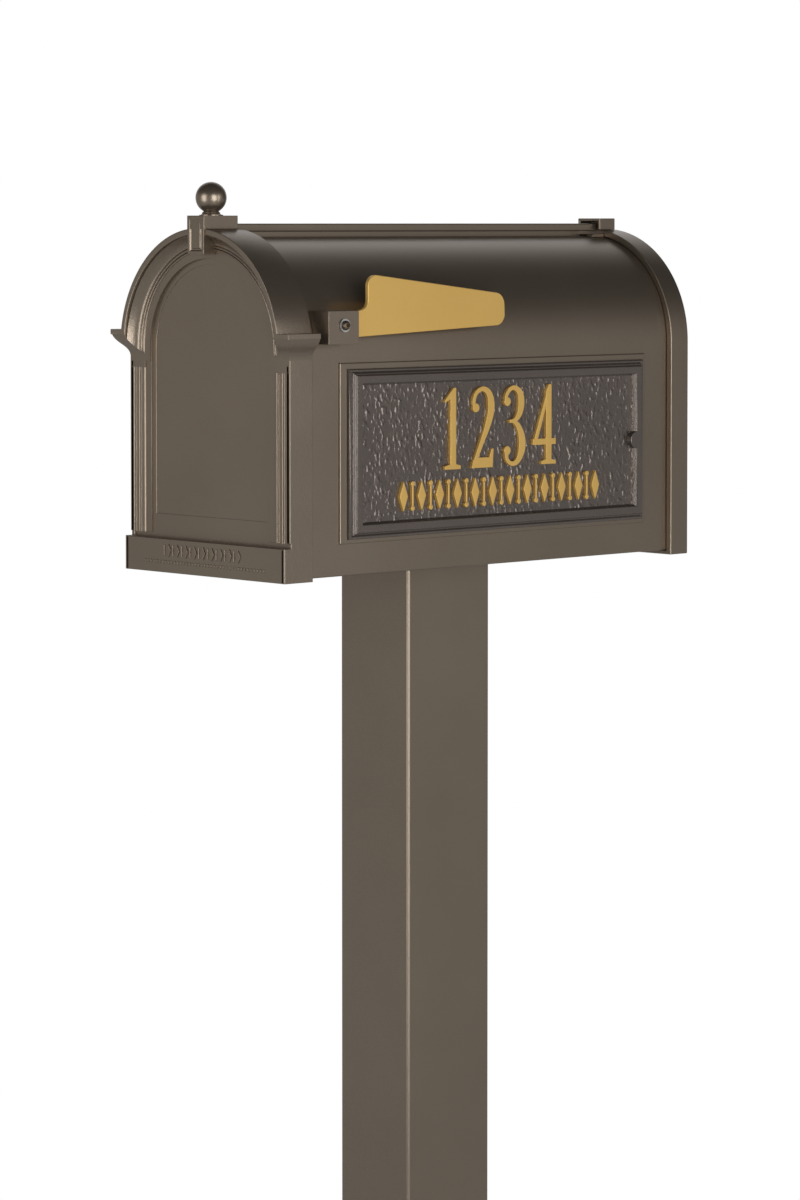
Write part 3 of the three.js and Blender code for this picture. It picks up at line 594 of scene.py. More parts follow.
body_sheet = sheet_tube("body_tube", arch(BODY_R, BODY_BOTTOM, 1.5), "Y", BODY_FRONT, BODY_REAR, SHEET)
soften(body_sheet, 0.4, 1, 60)
pad = box_of("pad", (BODY_R - SHEET / 2, *PAD_LOW), (BODY_R + PAD_HEIGHT, *PAD_HIGH))
soften(pad, 1.2, 3)
body_sheet = join("body_sheet", [body_sheet, pad, mirror_copy(pad, "pad_left")])
fit(body_sheet, "box_and_post", "bronze_paint", BRONZE, "body_shell")

# %% [markdown]
# ## The rear cap
# The back end is a cast cap, a little larger than the body, that slips over it. It is a solid arch with a
# room for the body cut from its front.

# %% Rear cap
CAP_FRONT = 536.4
CAP_BACK = 562.5
CAP_R = 118
CAP_DROP = 6.2
GAP = 0.35

rear_cover = prism("rear_cover", arch(CAP_R, -CAP_DROP), "Y", CAP_FRONT, CAP_BACK)
rear_room = prism("rear_room", arch(BODY_R + GAP, BODY_BOTTOM - GAP), "Y", CAP_FRONT - 5, BODY_REAR + GAP)
boolean(rear_cover, rear_room)
soften(rear_cover, 1.1, 3)
fit(rear_cover, "box_and_post", "bronze_paint", BRONZE, "rear_cap")

# %% [markdown]
# ## The post and its foot
# The post is an extruded tube, a little deeper than it is wide, whose corners have a small radius. That
# radius is what draws the two bright lines down its length. It stands over a socket on a square foot
# plate, which four anchor bolts hold down.

# %% Post tube
post_low, post_high = span("post_tube")
POST_CORNER = 2.8
POST_WALL = 3
post_sleeve = sheet_tube("post_sleeve", rounded(post_low.xy, post_high.xy, POST_CORNER), "Z",
                         post_low.z, post_high.z, POST_WALL)
soften(post_sleeve, 0.3, 1, 60)
fit(post_sleeve, "box_and_post", "bronze_paint", BRONZE, "post_tube")

# %% Foot plate and socket
foot_low, foot_high = span("foot_flange")
FOOT_THICK = 9.5
FOOT_CORNER = 12
SOCKET_WALL = 4
foot_plate = prism("foot_plate", rounded(foot_low.xy, foot_high.xy, FOOT_CORNER), "Z",
                   foot_low.z, foot_low.z + FOOT_THICK)
soften(foot_plate, 1.5, 3)
SOCKET_INSET = POST_WALL + GAP
socket = sheet_tube("socket", rounded((post_low.x + SOCKET_INSET, post_low.y + SOCKET_INSET),
                                      (post_high.x - SOCKET_INSET, post_high.y - SOCKET_INSET), 1.0),
                    "Z", foot_low.z + FOOT_THICK - 1, foot_high.z, SOCKET_WALL)
soften(socket, 0.5)
foot = join("foot_and_socket", [foot_plate, socket])
fit(foot, "box_and_post", "bronze_paint", CAST_BRONZE, "foot_flange")

# %% [markdown]
# ## The door: arched moulding
# The door is one casting. Its moulding has a fillet outside, a groove, a wide cove, two beads and a flat
# band. A moulding like this is one section carried round a half circle. The section is drawn once as a
# closed outline, spun half a turn about the arch's centre, and its two ends are pulled down as legs. The
# same section holds the collar that reaches back over the body.

# %% Arched moulding
HALF = 120.65
RING_R = 119.5
RING_INNER = 114.8
RING_FRONT = -14.3
COLLAR_BACK = 29.5
FIELD_R = 90
PANEL_FACE = 3
PANEL_BACK = 7
CAPITAL_FOOT = 210.6
CAPITAL_FILLET = 231.2
CAPITAL_TOP = 236.5


def moulding_section():
    """Closed outline as (radius, y): band, two beads, cove, groove, fillet, collar."""
    beads = arc(98.9, -0.2, 1.3, 180, 360, 8) + arc(101.8, -0.6, 1.5, 180, 340, 8)
    cove_foot, cove_rise = (103.6, -1.9), (112.4, -11.3)
    cove = []
    for i in range(1, 13):
        share = i / 12
        lift = 1 - math.cos(share * math.pi / 2)
        cove.append((cove_foot[0] + (cove_rise[0] - cove_foot[0]) * share,
                     cove_foot[1] + (cove_rise[1] - cove_foot[1]) * lift))
    groove = [(112.4, -10.6), (113.4, -10.6)]
    fillet = (arc(114.4, RING_FRONT + 1, 1, 180, 270, 4)
              + arc(RING_R - 0.7, RING_FRONT + 0.7, 0.7, 270, 360, 4))
    collar = [(RING_R, COLLAR_BACK), (RING_INNER, COLLAR_BACK), (RING_INNER, PANEL_BACK)]
    return [(FIELD_R, PANEL_BACK), (FIELD_R, 0.0), *beads, cove_foot, *cove, *groove, *fillet, *collar]


def half_ring(name, section, bottom):
    """A section of (radius, y) points spun half a turn over the box, with legs down to bottom."""
    ring = draw(name, [at(radius, y, ARCH_Z) for radius, y in section])
    editing(ring)
    bpy.ops.mesh.spin(steps=ARCH_STEPS, angle=math.pi, center=at(0, 0, ARCH_Z), axis=(0, 1, 0))
    done_editing()
    pick_faces(ring, lambda centre, normal: abs(centre.z - ARCH_Z) < 0.01 and abs(normal.z) > 0.99)
    bpy.ops.mesh.extrude_region_move(TRANSFORM_OT_translate={"value": STEPS["Z"] * (bottom - ARCH_Z)})
    done_editing()
    return ring


moulding = half_ring("moulding", moulding_section(), 205)
print("moulding faces", len(moulding.data.polygons))

# %% [markdown]
# The legs of the moulding end on the curved front of the capitals. The capital's side outline is an ogee
# under a square fillet. The same outline, closed in front of the casting, cuts the legs off along a
# slanting line.

# %% Ogee outline and the end of the legs
def ogee(face, reach, steps=12):
    """The curved part of a capital, from its foot to its fillet, as (distance out, height) points."""
    points = []
    for i in range(steps + 1):
        t = i / steps
        out = 3 * 0.05 * t * (1 - t) ** 2 + 3 * 0.72 * t * t * (1 - t) + 0.93 * t ** 3
        rise = 3 * 0.45 * t * (1 - t) ** 2 + 3 * 0.55 * t * t * (1 - t) + t ** 3
        points.append((face + out * reach, CAPITAL_FOOT + rise * (CAPITAL_FILLET - CAPITAL_FOOT)))
    return points


REACH_X = 13.8
REACH_Y = -14.4
under = prism("under", [(-0.03, 190), *ogee(-0.03, REACH_Y), (-40, CAPITAL_FILLET), (-40, 190)],
              "X", -130, 130)
boolean(moulding, under)
shade(moulding)

# %% [markdown]
# ## The door: panel, pilasters and base
# The panel is a plain arch with a slightly sunk field. Each pilaster is a flat strip with two round
# flutes, drawn as a cross-section and pulled up, under a plain block. The base is a plinth that stands
# further forward, with a dark gap above it. The side flange wraps back round the body, and carries the
# corner from the base up to the capital, so its outline is drawn from the side, in one piece.

# %% Panel
DOOR_BOTTOM = -3.8
FIELD_EDGE = 84
FIELD_FOOT = 53.6
FIELD_SINK = 0.7
BLOCK_TOP = CAPITAL_TOP - 3
panel = prism("panel", arch(FIELD_R + 3, DOOR_BOTTOM + 1), "Y", PANEL_FACE, PANEL_BACK)
skirt = box_of("skirt", (-HALF + 2, PANEL_FACE, DOOR_BOTTOM + 0.5), (HALF - 2, PANEL_BACK, BLOCK_TOP))
field_tool = prism("field_tool", arch(FIELD_EDGE, FIELD_FOOT), "Y", PANEL_FACE - 5, PANEL_FACE + FIELD_SINK)
boolean(panel, skirt, "UNION")
boolean(panel, field_tool)
soften(panel, 0.2, 2)

# %% Pilasters, flanges and base
BASE_TOP = 30
BASE_FRONT = -7
PILASTER_FOOT = 34.5
PILASTER_INNER = 97.65
FLUTE_TOP = 198.6
FLUTES = (104.15, 112.15)
FLUTE_HALF = 2.6
FLUTE_DEPTH = 3.2
LIP = 0.35
FLANGE_WALL = 5
FLANGE_TOP = CAPITAL_TOP - 2
NOTCH = 1.2
PILASTER_OUTER = HALF - 1.6
PILASTER_BACK = 5
CAPITAL_INNER = HALF - 7.9
CAPITAL_BACK = 27.7
BASE_INSET = 1.4


def flute(centre):
    """A half-round groove with rounded lips, as (x, y) points from left to right."""
    steps = 10
    groove = []
    for i in range(steps + 1):
        angle = math.pi * i / steps
        groove.append((centre - FLUTE_HALF * math.cos(angle), LIP * 0.6 + FLUTE_DEPTH * math.sin(angle)))
    left = arc(centre - FLUTE_HALF - LIP, LIP, LIP, 270, 330, 4)
    right = arc(centre + FLUTE_HALF + LIP, LIP, LIP, 210, 270, 4)
    return left + groove[1:-1] + right


pilaster_front = [(PILASTER_INNER, 1.0), (PILASTER_INNER + 0.3, 0.3), (PILASTER_INNER + 1.0, 0)]
pilaster_section = (pilaster_front + flute(FLUTES[0]) + flute(FLUTES[1])
                    + [(PILASTER_OUTER, 0), (PILASTER_OUTER, PILASTER_BACK),
                       (PILASTER_INNER, PILASTER_BACK)])
fluted = prism("fluted", pilaster_section, "Z", PILASTER_FOOT, FLUTE_TOP)
shade(fluted)
block = box_of("block", (PILASTER_INNER, 0, FLUTE_TOP), (PILASTER_OUTER, PILASTER_BACK, BLOCK_TOP))
soften(block, 0.5)
strip = box_of("strip", (FIELD_R - 0.5, 1.5, PILASTER_FOOT), (PILASTER_INNER + 1, PILASTER_BACK, BLOCK_TOP))
soften(strip, 0.4)
flange_outline = [(BASE_FRONT, DOOR_BOTTOM), (COLLAR_BACK, DOOR_BOTTOM), (COLLAR_BACK, FLANGE_TOP),
                  (0, FLANGE_TOP), (0, PILASTER_FOOT), (NOTCH, PILASTER_FOOT), (NOTCH, BASE_TOP),
                  (BASE_FRONT, BASE_TOP)]
flange = prism("flange", flange_outline, "X", HALF - FLANGE_WALL, HALF)
soften(flange, 1.4, 4)
capital_outline = [(CAPITAL_INNER, CAPITAL_FOOT), *ogee(HALF, REACH_X), (HALF + REACH_X, CAPITAL_FILLET),
                   (HALF + REACH_X, CAPITAL_TOP), (CAPITAL_INNER, CAPITAL_TOP)]
capital = prism("capital", capital_outline, "Y", -30, CAPITAL_BACK)
capital_front = prism("capital_front", [(40, CAPITAL_FOOT), *ogee(0, REACH_Y), (REACH_Y, CAPITAL_FILLET),
                                        (REACH_Y, CAPITAL_TOP), (40, CAPITAL_TOP)], "X", 90, 150)
boolean(capital, capital_front, "INTERSECT")
soften(capital, 0.5, 2, 40)
right_side = join("right_side", [fluted, block, strip, flange, capital])
left_side = mirror_copy(right_side, "left_side")
base = box_of("base", (-HALF + BASE_INSET, BASE_FRONT, DOOR_BOTTOM),
              (HALF - BASE_INSET, PANEL_BACK - 1, BASE_TOP))
soften(base, 1.0, 3)

# %% [markdown]
# ## The door: ornament on the base
# Two cast rows decorate the base. The upper one is a row of tall lozenges and upright bars, the lower one
# a row of fine beads. Each is modelled once and copied along the base, every copy with its own mesh.

# %% Rows of ornament
def copies(piece, shifts):
    """The piece and copies of it, each moved by a distance in millimetres along X, Y and Z."""
    made = [piece]
    for shift in shifts:
        choose(piece)
        bpy.ops.object.duplicate()
        copy = bpy.context.object
        copy.location = Vector(shift) * MM
        bpy.ops.object.transform_apply(location=True, rotation=False, scale=False)
        made.append(copy)
    return made


LOZENGE = [(-3.6, 18.5), (0, 12.0), (3.6, 18.5), (0, 25.0)]
BAR = [(-7.4, 13.0), (-5.8, 13.0), (-5.8, 24.0), (-7.4, 24.0)]
ORNAMENT_PITCH = 13.2
ORNAMENT_COUNT = 9


def raised_on_base(name, outline, height, bevel):
    piece = prism(name, outline, "Y", BASE_FRONT - height, BASE_FRONT + 0.5)
    return soften(piece, bevel, 2)


first = -ORNAMENT_PITCH * (ORNAMENT_COUNT - 1) / 2
upper_row = []
for name, outline in (("lozenge", LOZENGE), ("bar", BAR)):
    shape = raised_on_base(name, [(u + first, v) for u, v in outline], 1.1, 0.4)
    upper_row += copies(shape, [(ORNAMENT_PITCH * i, 0, 0) for i in range(1, ORNAMENT_COUNT)])

BEAD_PITCH = 4.6
BEAD_COUNT = 40
bead_start = -BEAD_PITCH * (BEAD_COUNT - 1) / 2
bead = raised_on_base("bead", rounded((bead_start - 1.3, 5.2), (bead_start + 1.3, 8.6), 1.2, 3), 0.7, 0.3)
lower_row = copies(bead, [(BEAD_PITCH * i, 0, 0) for i in range(1, BEAD_COUNT)])
door_front = join("door_front", [panel, moulding, right_side, left_side, base, *upper_row, *lower_row])
fit(door_front, "door", "bronze_paint", CAST_BRONZE, "door_casting")

# %% [markdown]
# ## Keystone and ball
# The keystone closes the arch and carries a ball, which is what a hand pulls. Its front is a framed
# panel, made by insetting the front face and pushing it in, then insetting again and pulling the middle
# out. The ball and its flared neck are one profile, spun a full turn.

# %% Keystone
KEY_HALF = 12.3
KEY_FRONT = -16
KEY_FOOT = 312
SLAB_HALF = 13.3
SLAB_FOOT = 336.4
SLAB_TOP = 349.8
SLAB_BACK = 27

wedge = box_of("wedge", (-KEY_HALF, KEY_FRONT, KEY_FOOT), (KEY_HALF, -GAP, SLAB_TOP - 0.6))
pick_faces(wedge, lambda centre, normal: normal.y < -0.9)
bpy.ops.mesh.inset(thickness=3.2 * MM, depth=0)
bpy.ops.mesh.inset(thickness=0.7 * MM, depth=-1.5 * MM)
bpy.ops.mesh.inset(thickness=1.6 * MM, depth=0)
bpy.ops.mesh.inset(thickness=0.7 * MM, depth=1.2 * MM)
done_editing(recalculate=False)
soften(wedge, 0.45, 2, 25)
slab = box_of("slab", (-SLAB_HALF, KEY_FRONT + 0.4, SLAB_FOOT), (SLAB_HALF, SLAB_BACK, SLAB_TOP))
boolean(slab, prism("ring_seat", arch(RING_R + 0.1, 0), "Y", RING_FRONT, SLAB_BACK + 5))
soften(slab, 0.6, 3)
keystone = join("keystone", [wedge, slab])
fit(keystone, "door", "bronze_paint", CAST_BRONZE, "door_keystone")

# %% Ball on its neck
BALL_R = 15.3
BALL_PLACE = (0, 4, 367.4)
NECK_R = 8.8
neck_foot = SLAB_TOP - BALL_PLACE[2]
waist = math.degrees(math.asin(NECK_R * 0.84 / BALL_R))
ball_outline = [(BALL_R * math.sin(math.radians(a)), -BALL_R * math.cos(math.radians(a)))
                for a in [waist + (180 - waist) * i / 28 for i in range(29)]]
ball_outline[-1] = (0, BALL_R)
neck = [(0, neck_foot - 0.1), (NECK_R + 3, neck_foot - 0.1), (NECK_R + 3, neck_foot + 0.8)]
neck += arc(NECK_R + 2.6, neck_foot + 3.2, 2.6, 265, 185, 6)
ball = turned("ball", neck + ball_outline, "Z", BALL_PLACE, 64)
shade(ball)
fit(ball, "door", "bronze_paint", BRONZE, "finial_ball")

# %% [markdown]
# ## The ridge rail and its clamp
# A rail runs along the ridge on a narrow web, so that a dark line shows under it. Its web ends at a thin
# saddle, and its bar runs on over the rear cap, into a clamp. The clamp is a channel, closed behind and
# open in front, with its two legs on the cap. It is a block with its inside and its round seat cut away.

# %% Rail
RAIL_TOP = 342
RAIL_START = 31.5
RAIL_END = 550
RAIL_FOOT = 334
RAIL_HALF = 8
WEB_HALF = 3.5
SADDLE_START = 514
bar = prism("rail_bar", rounded((-RAIL_HALF, RAIL_FOOT), (RAIL_HALF, RAIL_TOP), 1.2, 3), "Y",
            RAIL_START, RAIL_END)
soften(bar, 0.3, 1, 60)
boolean(bar, prism("cap_room", arch(CAP_R + GAP, 0), "Y", CAP_FRONT - GAP, RAIL_END + 5))
web = box_of("rail_web", (-WEB_HALF, RAIL_START + 1, ARCH_Z + BODY_R - 0.3),
             (WEB_HALF, SADDLE_START - 0.4, RAIL_FOOT + 1))
rail = join("rail", [bar, web])
fit(rail, "box_and_post", "bronze_paint", BRONZE, "ridge_rail")

# %% Saddle
SADDLE_TOP = 330.6
SADDLE_FOOT = 325.6
SADDLE_HALF = 20
SADDLE_END = CAP_FRONT - 2 * GAP
saddle = prism("saddle", [(SADDLE_START, SADDLE_FOOT), (SADDLE_START + 6, SADDLE_TOP),
                          (SADDLE_END, SADDLE_TOP), (SADDLE_END, SADDLE_FOOT)],
               "X", -SADDLE_HALF, SADDLE_HALF)
boolean(saddle, prism("saddle_seat", arch(BODY_R + GAP, 0), "Y", SADDLE_START - 5, SADDLE_END + 5))
soften(saddle, 0.3, 2, 40)
fit(saddle, "box_and_post", "bronze_paint", BRONZE, "rail_saddle")

# %% Clamp
CLAMP_HALF = 16.2
CLAMP_WALL = 3
CLAMP_FRONT = 533.3
CLAMP_BACK = CAP_BACK - 6
CLAMP_TOP = 347.4
CLAMP_FOOT = ARCH_Z + CAP_R - 2
clamp = box_of("clamp", (-CLAMP_HALF, CLAMP_FRONT, CLAMP_FOOT), (CLAMP_HALF, CLAMP_BACK, CLAMP_TOP))
channel_room = box_of("channel_room", (-CLAMP_HALF + CLAMP_WALL, CLAMP_FRONT - 5, CLAMP_FOOT - 5),
                      (CLAMP_HALF - CLAMP_WALL, CLAMP_BACK - 5, CLAMP_TOP - CLAMP_WALL))
boolean(clamp, channel_room)
boolean(clamp, prism("cap_seat", arch(CAP_R + GAP, 0), "Y", CLAMP_FRONT - 5, CLAMP_BACK + 5))
soften(clamp, 0.7, 3, 40)
fit(clamp, "box_and_post", "bronze_paint", CAST_BRONZE, "rail_clamp")

# %% [markdown]
# ## The signal flag
# The flag is a cast blade with a round root on the pivot, a concave fillet up to its square shoulder and
# a round tip. It stands in the slot of a small block on the body's side. A screw is its pivot, with a
# washer beside it.

# %% Flag blade
PIVOT = (59.3, 243.7)
BLADE = (123.5, 128)
SHOULDER_Y = 95.2
SHOULDER_TOP = 291.7
ROOT_R = 12.7
ROOT_END = (81.5, PIVOT[1] + 13.2)
FILLET_R = 9.5
TIP_LOW = (269.6, 252.1, 12.2)
TIP_HIGH = (268.8, 260.4, 12.6)
SHOULDER = (105.6, SHOULDER_TOP - 10.2, 10.4)

blade_outline = (
    arc(*PIVOT, ROOT_R, 90, 270, 16)
    + arc(*TIP_LOW, 280, 352, 10)
    + arc(*TIP_HIGH, 8, 82, 10)
    + arc(*SHOULDER, 82, 180, 12)
    + arc(SHOULDER_Y - FILLET_R, PIVOT[1] + 24, FILLET_R, 360, 270, 10)
    + [ROOT_END])
flag = prism("flag", blade_outline, "X", *BLADE)
soften(flag, 0.7, 3)
fit(flag, "flag", "gold_paint", GOLD, "flag_blade")

# %% Bracket
BRACKET_LOW = (99, 39, 225.5)
BRACKET_HIGH = (133, 78.5, 257.7)
SLOT_LOW = (BLADE[0] - 0.4, 44, 230.5)
SLOT_HIGH = (BLADE[1] + 0.4, 84, 263)
bracket = box_of("bracket", BRACKET_LOW, BRACKET_HIGH)
boolean(bracket, prism("side_seat", arch(BODY_R + GAP, 0), "Y", 0, 200))
boolean(bracket, box_of("slot", SLOT_LOW, SLOT_HIGH))
soften(bracket, 0.8, 3, 40)
fit(bracket, "box_and_post", "bronze_paint", CAST_BRONZE, "flag_bracket")

# %% [markdown]
# ## Screws
# The screws that show have pan heads with a cross recess. The head is a profile spun about the screw's
# axis, and two crossed bars are cut out of it.

# %% Pan head screws
CROSS = {"X": (0, 1, 2), "Y": (1, 0, 2)}


def pan_screw(name, shank, length, axis, side, place):
    """A screw whose head's underside is at the place; side is +1 or -1 along the axis."""
    head, height = 1.9 * shank, 1.2 * shank
    profile = [(0, -length), (shank * 0.7, -length), (shank, -length + 1), (shank, 0), (head, 0),
               (head, 0.25 * height), (0.93 * head, 0.6 * height), (0.8 * head, 0.85 * height),
               (0.55 * head, height), (0, height)]
    screw = turned(name, [(radius, side * along) for radius, along in profile], axis, place, 24)
    deep, wide, long = height * 0.55, shank * 0.36, shank * 1.25
    normal, first, second = CROSS[axis]
    for across, other in ((first, second), (second, first)):
        low, high = list(place), list(place)
        ends = sorted((side * (height - deep), side * (height + 1)))
        low[normal] += ends[0]
        high[normal] += ends[1]
        low[across] -= wide / 2
        high[across] += wide / 2
        low[other] -= long / 2
        high[other] += long / 2
        boolean(screw, box_of("cross", low, high))
    return soften(screw, 0)


screw_high = span("flag_screw")[1]
flag_pin = pan_screw("flag_pin", 2.5, 15, "X", 1, (screw_high.x - 3.0, *PIVOT))
fit(flag_pin, "box_and_post", "dark_screw", DARK_SCREW, "flag_screw")
for i in range(1, 5):
    low, high = span(f"rear_screw_{i}")
    middle = (low + high) / 2
    screw = pan_screw(f"cap_screw_{i}", 2.5, 16, "Y", 1, (middle.x, high.y - 3.0, middle.z))
    fit(screw, "box_and_post", "dark_screw", DARK_SCREW, f"rear_screw_{i}")
post_middle = (post_low.y + post_high.y) / 2
for i in range(1, 5):
    low, high = span(f"foot_screw_{i}")
    middle = (low + high) / 2
    axis = "X" if abs(middle.x) > 1 else "Y"
    outward = 1 if (middle.x if axis == "X" else middle.y - post_middle) > 0 else -1
    face = high if outward > 0 else low
    place = ((face.x - 3.6 * outward, middle.y, middle.z) if axis == "X"
             else (middle.x, face.y - 3.6 * outward, middle.z))
    screw = pan_screw(f"socket_screw_{i}", 3, 11, axis, outward, place)
    fit(screw, "box_and_post", "dark_screw", DARK_SCREW, f"foot_screw_{i}")

# %% [markdown]
# ## Anchor bolts
# Each corner of the foot plate is held by a stud with a washer and a hexagon nut. The stud's thread is a
# saw-tooth profile, spun, and the nut is a six-sided cylinder with chamfered ends. One set is modelled
# and copied.

# %% Anchor bolts
anchor_low, anchor_high = span("anchor_bolt_1")
STUD_R = 7.5
PLATE_TOP = foot_low.z + FOOT_THICK + GAP
anchor_x = (anchor_low.x + anchor_high.x) / 2
anchor_y = (anchor_low.y + anchor_high.y) / 2
THREAD = 2.0
WASHER_R = 15
WASHER_TOP = PLATE_TOP + 3
NUT_R = 13.5
NUT_TOP = PLATE_TOP + 13
thread = [(0, anchor_low.z), (STUD_R - 1, anchor_low.z)]
turns = int((anchor_high.z - anchor_low.z - 2) / THREAD)
for i in range(turns):
    root = anchor_low.z + 0.5 + THREAD * i
    thread += [(STUD_R - 1.1, root), (STUD_R, root + THREAD / 2)]
thread += [(STUD_R - 1.2, anchor_high.z - 0.6), (STUD_R - 1.8, anchor_high.z), (0, anchor_high.z)]
stud = turned("stud", thread, "Z", (anchor_x, anchor_y, 0), 32)
soften(stud, 0)
washer = turned("washer", [(STUD_R - 1, PLATE_TOP), (WASHER_R, PLATE_TOP), (WASHER_R, WASHER_TOP),
                           (STUD_R - 1, WASHER_TOP), (STUD_R - 1, PLATE_TOP)],
                "Z", (anchor_x, anchor_y, 0), 40)
soften(washer, 0.4)
hexagon = [(anchor_x + u, anchor_y + v) for u, v in arc(0, 0, NUT_R, 0, 300, 5)]
nut = prism("nut", hexagon, "Z", PLATE_TOP + 3.05, NUT_TOP)
soften(nut, 0.9, 2)
anchor = join("ground_bolt_1", [stud, washer, nut])
anchors = [anchor]
for i in range(2, 5):
    low, high = span(f"anchor_bolt_{i}")
    shift = ((low.x + high.x) / 2 - anchor_x, (low.y + high.y) / 2 - anchor_y, 0)
    anchors.append(copies(anchor, [shift])[1])
    anchors[-1].name = f"ground_bolt_{i}"
for i, bolt in enumerate(anchors, 1):
    fit(bolt, "box_and_post", "zinc_steel", ZINC, f"anchor_bolt_{i}")

# %% [markdown]
# ## The number plaque
# The plaque is a heavy casting with a moulded edge: a low bead, a higher bead, a flat rim, and then a
# steep drop to the field. Such a rim is made by hand with one move repeated: inset the outer face a
# little, and lift or sink it at the same time. The list below is that edge, from outside to inside.

# %% Plaque plate with its moulded edge
PLAQUE_BACK = BODY_R + PAD_HEIGHT + GAP
PLAQUE_LOW = (81, 33.8)
PLAQUE_HIGH = (496, 200.4)
RIM = 7.5
FIELD_LEVEL = 1.5
BORDER = 14
FIELD_INSET = 16.2
EDGE = [(0.25, 2.3), (0.8, 2.95), (1.5, 3.25), (2.3, 3.25), (3.0, 2.95), (3.5, 2.3), (4.5, 4.7), (4.9, 4.95),
        (5.5, 4.8), (6.6, 7.1), (7.1, 7.4), (7.7, RIM), (13.4, RIM), (13.9, 7.3), (14.2, 6.8),
        (FIELD_INSET, FIELD_LEVEL)]
START_LEVEL = 1.4

plate = box_of("plate", (PLAQUE_BACK, *PLAQUE_LOW), (PLAQUE_BACK + START_LEVEL, *PLAQUE_HIGH))
pick_faces(plate, lambda centre, normal: normal.x > 0.9)
inset_before, level_before = 0.0, START_LEVEL
for inset, level in EDGE:
    bpy.ops.mesh.inset(thickness=(inset - inset_before) * MM, depth=(level - level_before) * MM)
    inset_before, level_before = inset, level
done_editing(recalculate=False)
soften(plate, 0)
MIDDLE_Z = (PLAQUE_LOW[1] + PLAQUE_HIGH[1]) / 2
LOBE_R = 9
lobes = []
for name, y, start, end in (("front_lobe", PLAQUE_LOW[0] + BORDER, -90, 90),
                            ("back_lobe", PLAQUE_HIGH[0] - BORDER, 90, 270)):
    back = 3 if start == 90 else -3
    edge = LOBE_R if start == -90 else -LOBE_R
    outline = [*arc(y, MIDDLE_Z, LOBE_R, start, end, 20),
               (y + back, MIDDLE_Z + edge), (y + back, MIDDLE_Z - edge)]
    lobes.append(soften(prism(name, outline, "X", PLAQUE_BACK, PLAQUE_BACK + RIM - 0.05), 0.7, 3))

# %% [markdown]
# The field is cast with the look of trowelled plaster: soft strokes, mostly upright, a few millimetres
# long. A fine grid is displaced by a procedural noise, squeezed sideways by stretching the grid before
# the displacement is applied, and is then closed at the back, so that it is a real relief and not only a
# trick of the shading.

# %% Plaster relief of the field
RELIEF = 1.05
STRETCH = 2.3
OVERLAP = 0.5
FIELD_LIFT = 0.55
FIELD_THICK = 1.4
field_y = (PLAQUE_LOW[0] + FIELD_INSET - OVERLAP, PLAQUE_HIGH[0] - FIELD_INSET + OVERLAP)
field_z = (PLAQUE_LOW[1] + FIELD_INSET - OVERLAP, PLAQUE_HIGH[1] - FIELD_INSET + OVERLAP)
bpy.ops.object.select_all(action="DESELECT")
bpy.ops.mesh.primitive_grid_add(x_subdivisions=120, y_subdivisions=300, size=1, rotation=(0, math.pi / 2, 0))
field = bpy.context.object
field.name = "plaster_field"
bpy.ops.object.transform_apply(location=False, rotation=True, scale=False)
wide, tall = field_y[1] - field_y[0], field_z[1] - field_z[0]
field.scale = (1, wide * MM * STRETCH, tall * MM)
bpy.ops.object.transform_apply(location=False, rotation=False, scale=True)
plaster = bpy.data.textures.new("plaster", "DISTORTED_NOISE")
plaster.noise_distortion = "IMPROVED_PERLIN"
plaster.noise_basis = "IMPROVED_PERLIN"
plaster.noise_scale = 0.0105
plaster.distortion = 1.6
bpy.ops.object.modifier_add(type="DISPLACE")
relief = field.modifiers[-1]
relief.texture = plaster
relief.strength = RELIEF * MM
relief.mid_level = 0.5
bpy.ops.object.modifier_apply(modifier=relief.name)
field.scale = (1, 1 / STRETCH, 1)
field.location = at(PLAQUE_BACK + FIELD_LEVEL + FIELD_LIFT, sum(field_y) / 2, sum(field_z) / 2)
bpy.ops.object.transform_apply(location=True, rotation=False, scale=True)
editing(field)
bpy.ops.mesh.extrude_region_move(TRANSFORM_OT_translate={"value": Vector((-FIELD_THICK * MM, 0, 0))})
done_editing()
bpy.ops.object.shade_smooth_by_angle(angle=math.radians(60))
print("relief faces", len(field.data.polygons))
plaque = join("plaque", [plate, *lobes, field])

# %% [markdown]
# ## Numerals and ornament of the plaque
# The plaque carries four generic numerals, one to four, and under them a row of tall lozenges with beads
# between. A numeral is drawn as a brush would draw it: a few points with a width at each, smoothed to a
# curve, and widened to an outline. Everything is then pulled up from the field, bevelled and painted
# gold.

# %% Brush strokes
NUMBER_FOOT = 97
NUMBER_TOP = PLAQUE_BACK + 4.9
NUMBER_STARTS = (203, 244.5, 288.5, 331)


def smooth_stroke(points, steps=6):
    """Points of a curve through (u, v, width) points, by Catmull and Rom's formula."""
    padded = [points[0], *points, points[-1]]
    curve = []
    for before, here, there, after in zip(padded, padded[1:], padded[2:], padded[3:]):
        for i in range(steps):
            t = i / steps
            curve.append(tuple(
                0.5 * (2 * b + (c - a) * t + (2 * a - 5 * b + 4 * c - d) * t * t
                       + (3 * b - a - 3 * c + d) * t ** 3)
                for a, b, c, d in zip(before, here, there, after)))
    return [*curve, points[-1]]


def brush(points):
    """The outline of a stroke: its left side there, and its right side back."""
    curve = smooth_stroke(points)
    left, right = [], []
    for i, (u, v, width) in enumerate(curve):
        u0, v0, _ = curve[max(i - 1, 0)]
        u1, v1, _ = curve[min(i + 1, len(curve) - 1)]
        length = math.hypot(u1 - u0, v1 - v0)
        du, dv = (v0 - v1) / length * width / 2, (u1 - u0) / length * width / 2
        left.append((u + du, v + dv))
        right.append((u - du, v - dv))
    return left + right[::-1]


def raised(name, outline, start, foot, top=NUMBER_TOP, bevel=0.55):
    """An outline of (u, v) points on the plaque's field, pulled up to the top level."""
    piece = prism(name, [(start + u, foot + v) for u, v in outline], "X", PLAQUE_BACK + 0.8, top)
    return soften(piece, bevel, 2, 50)


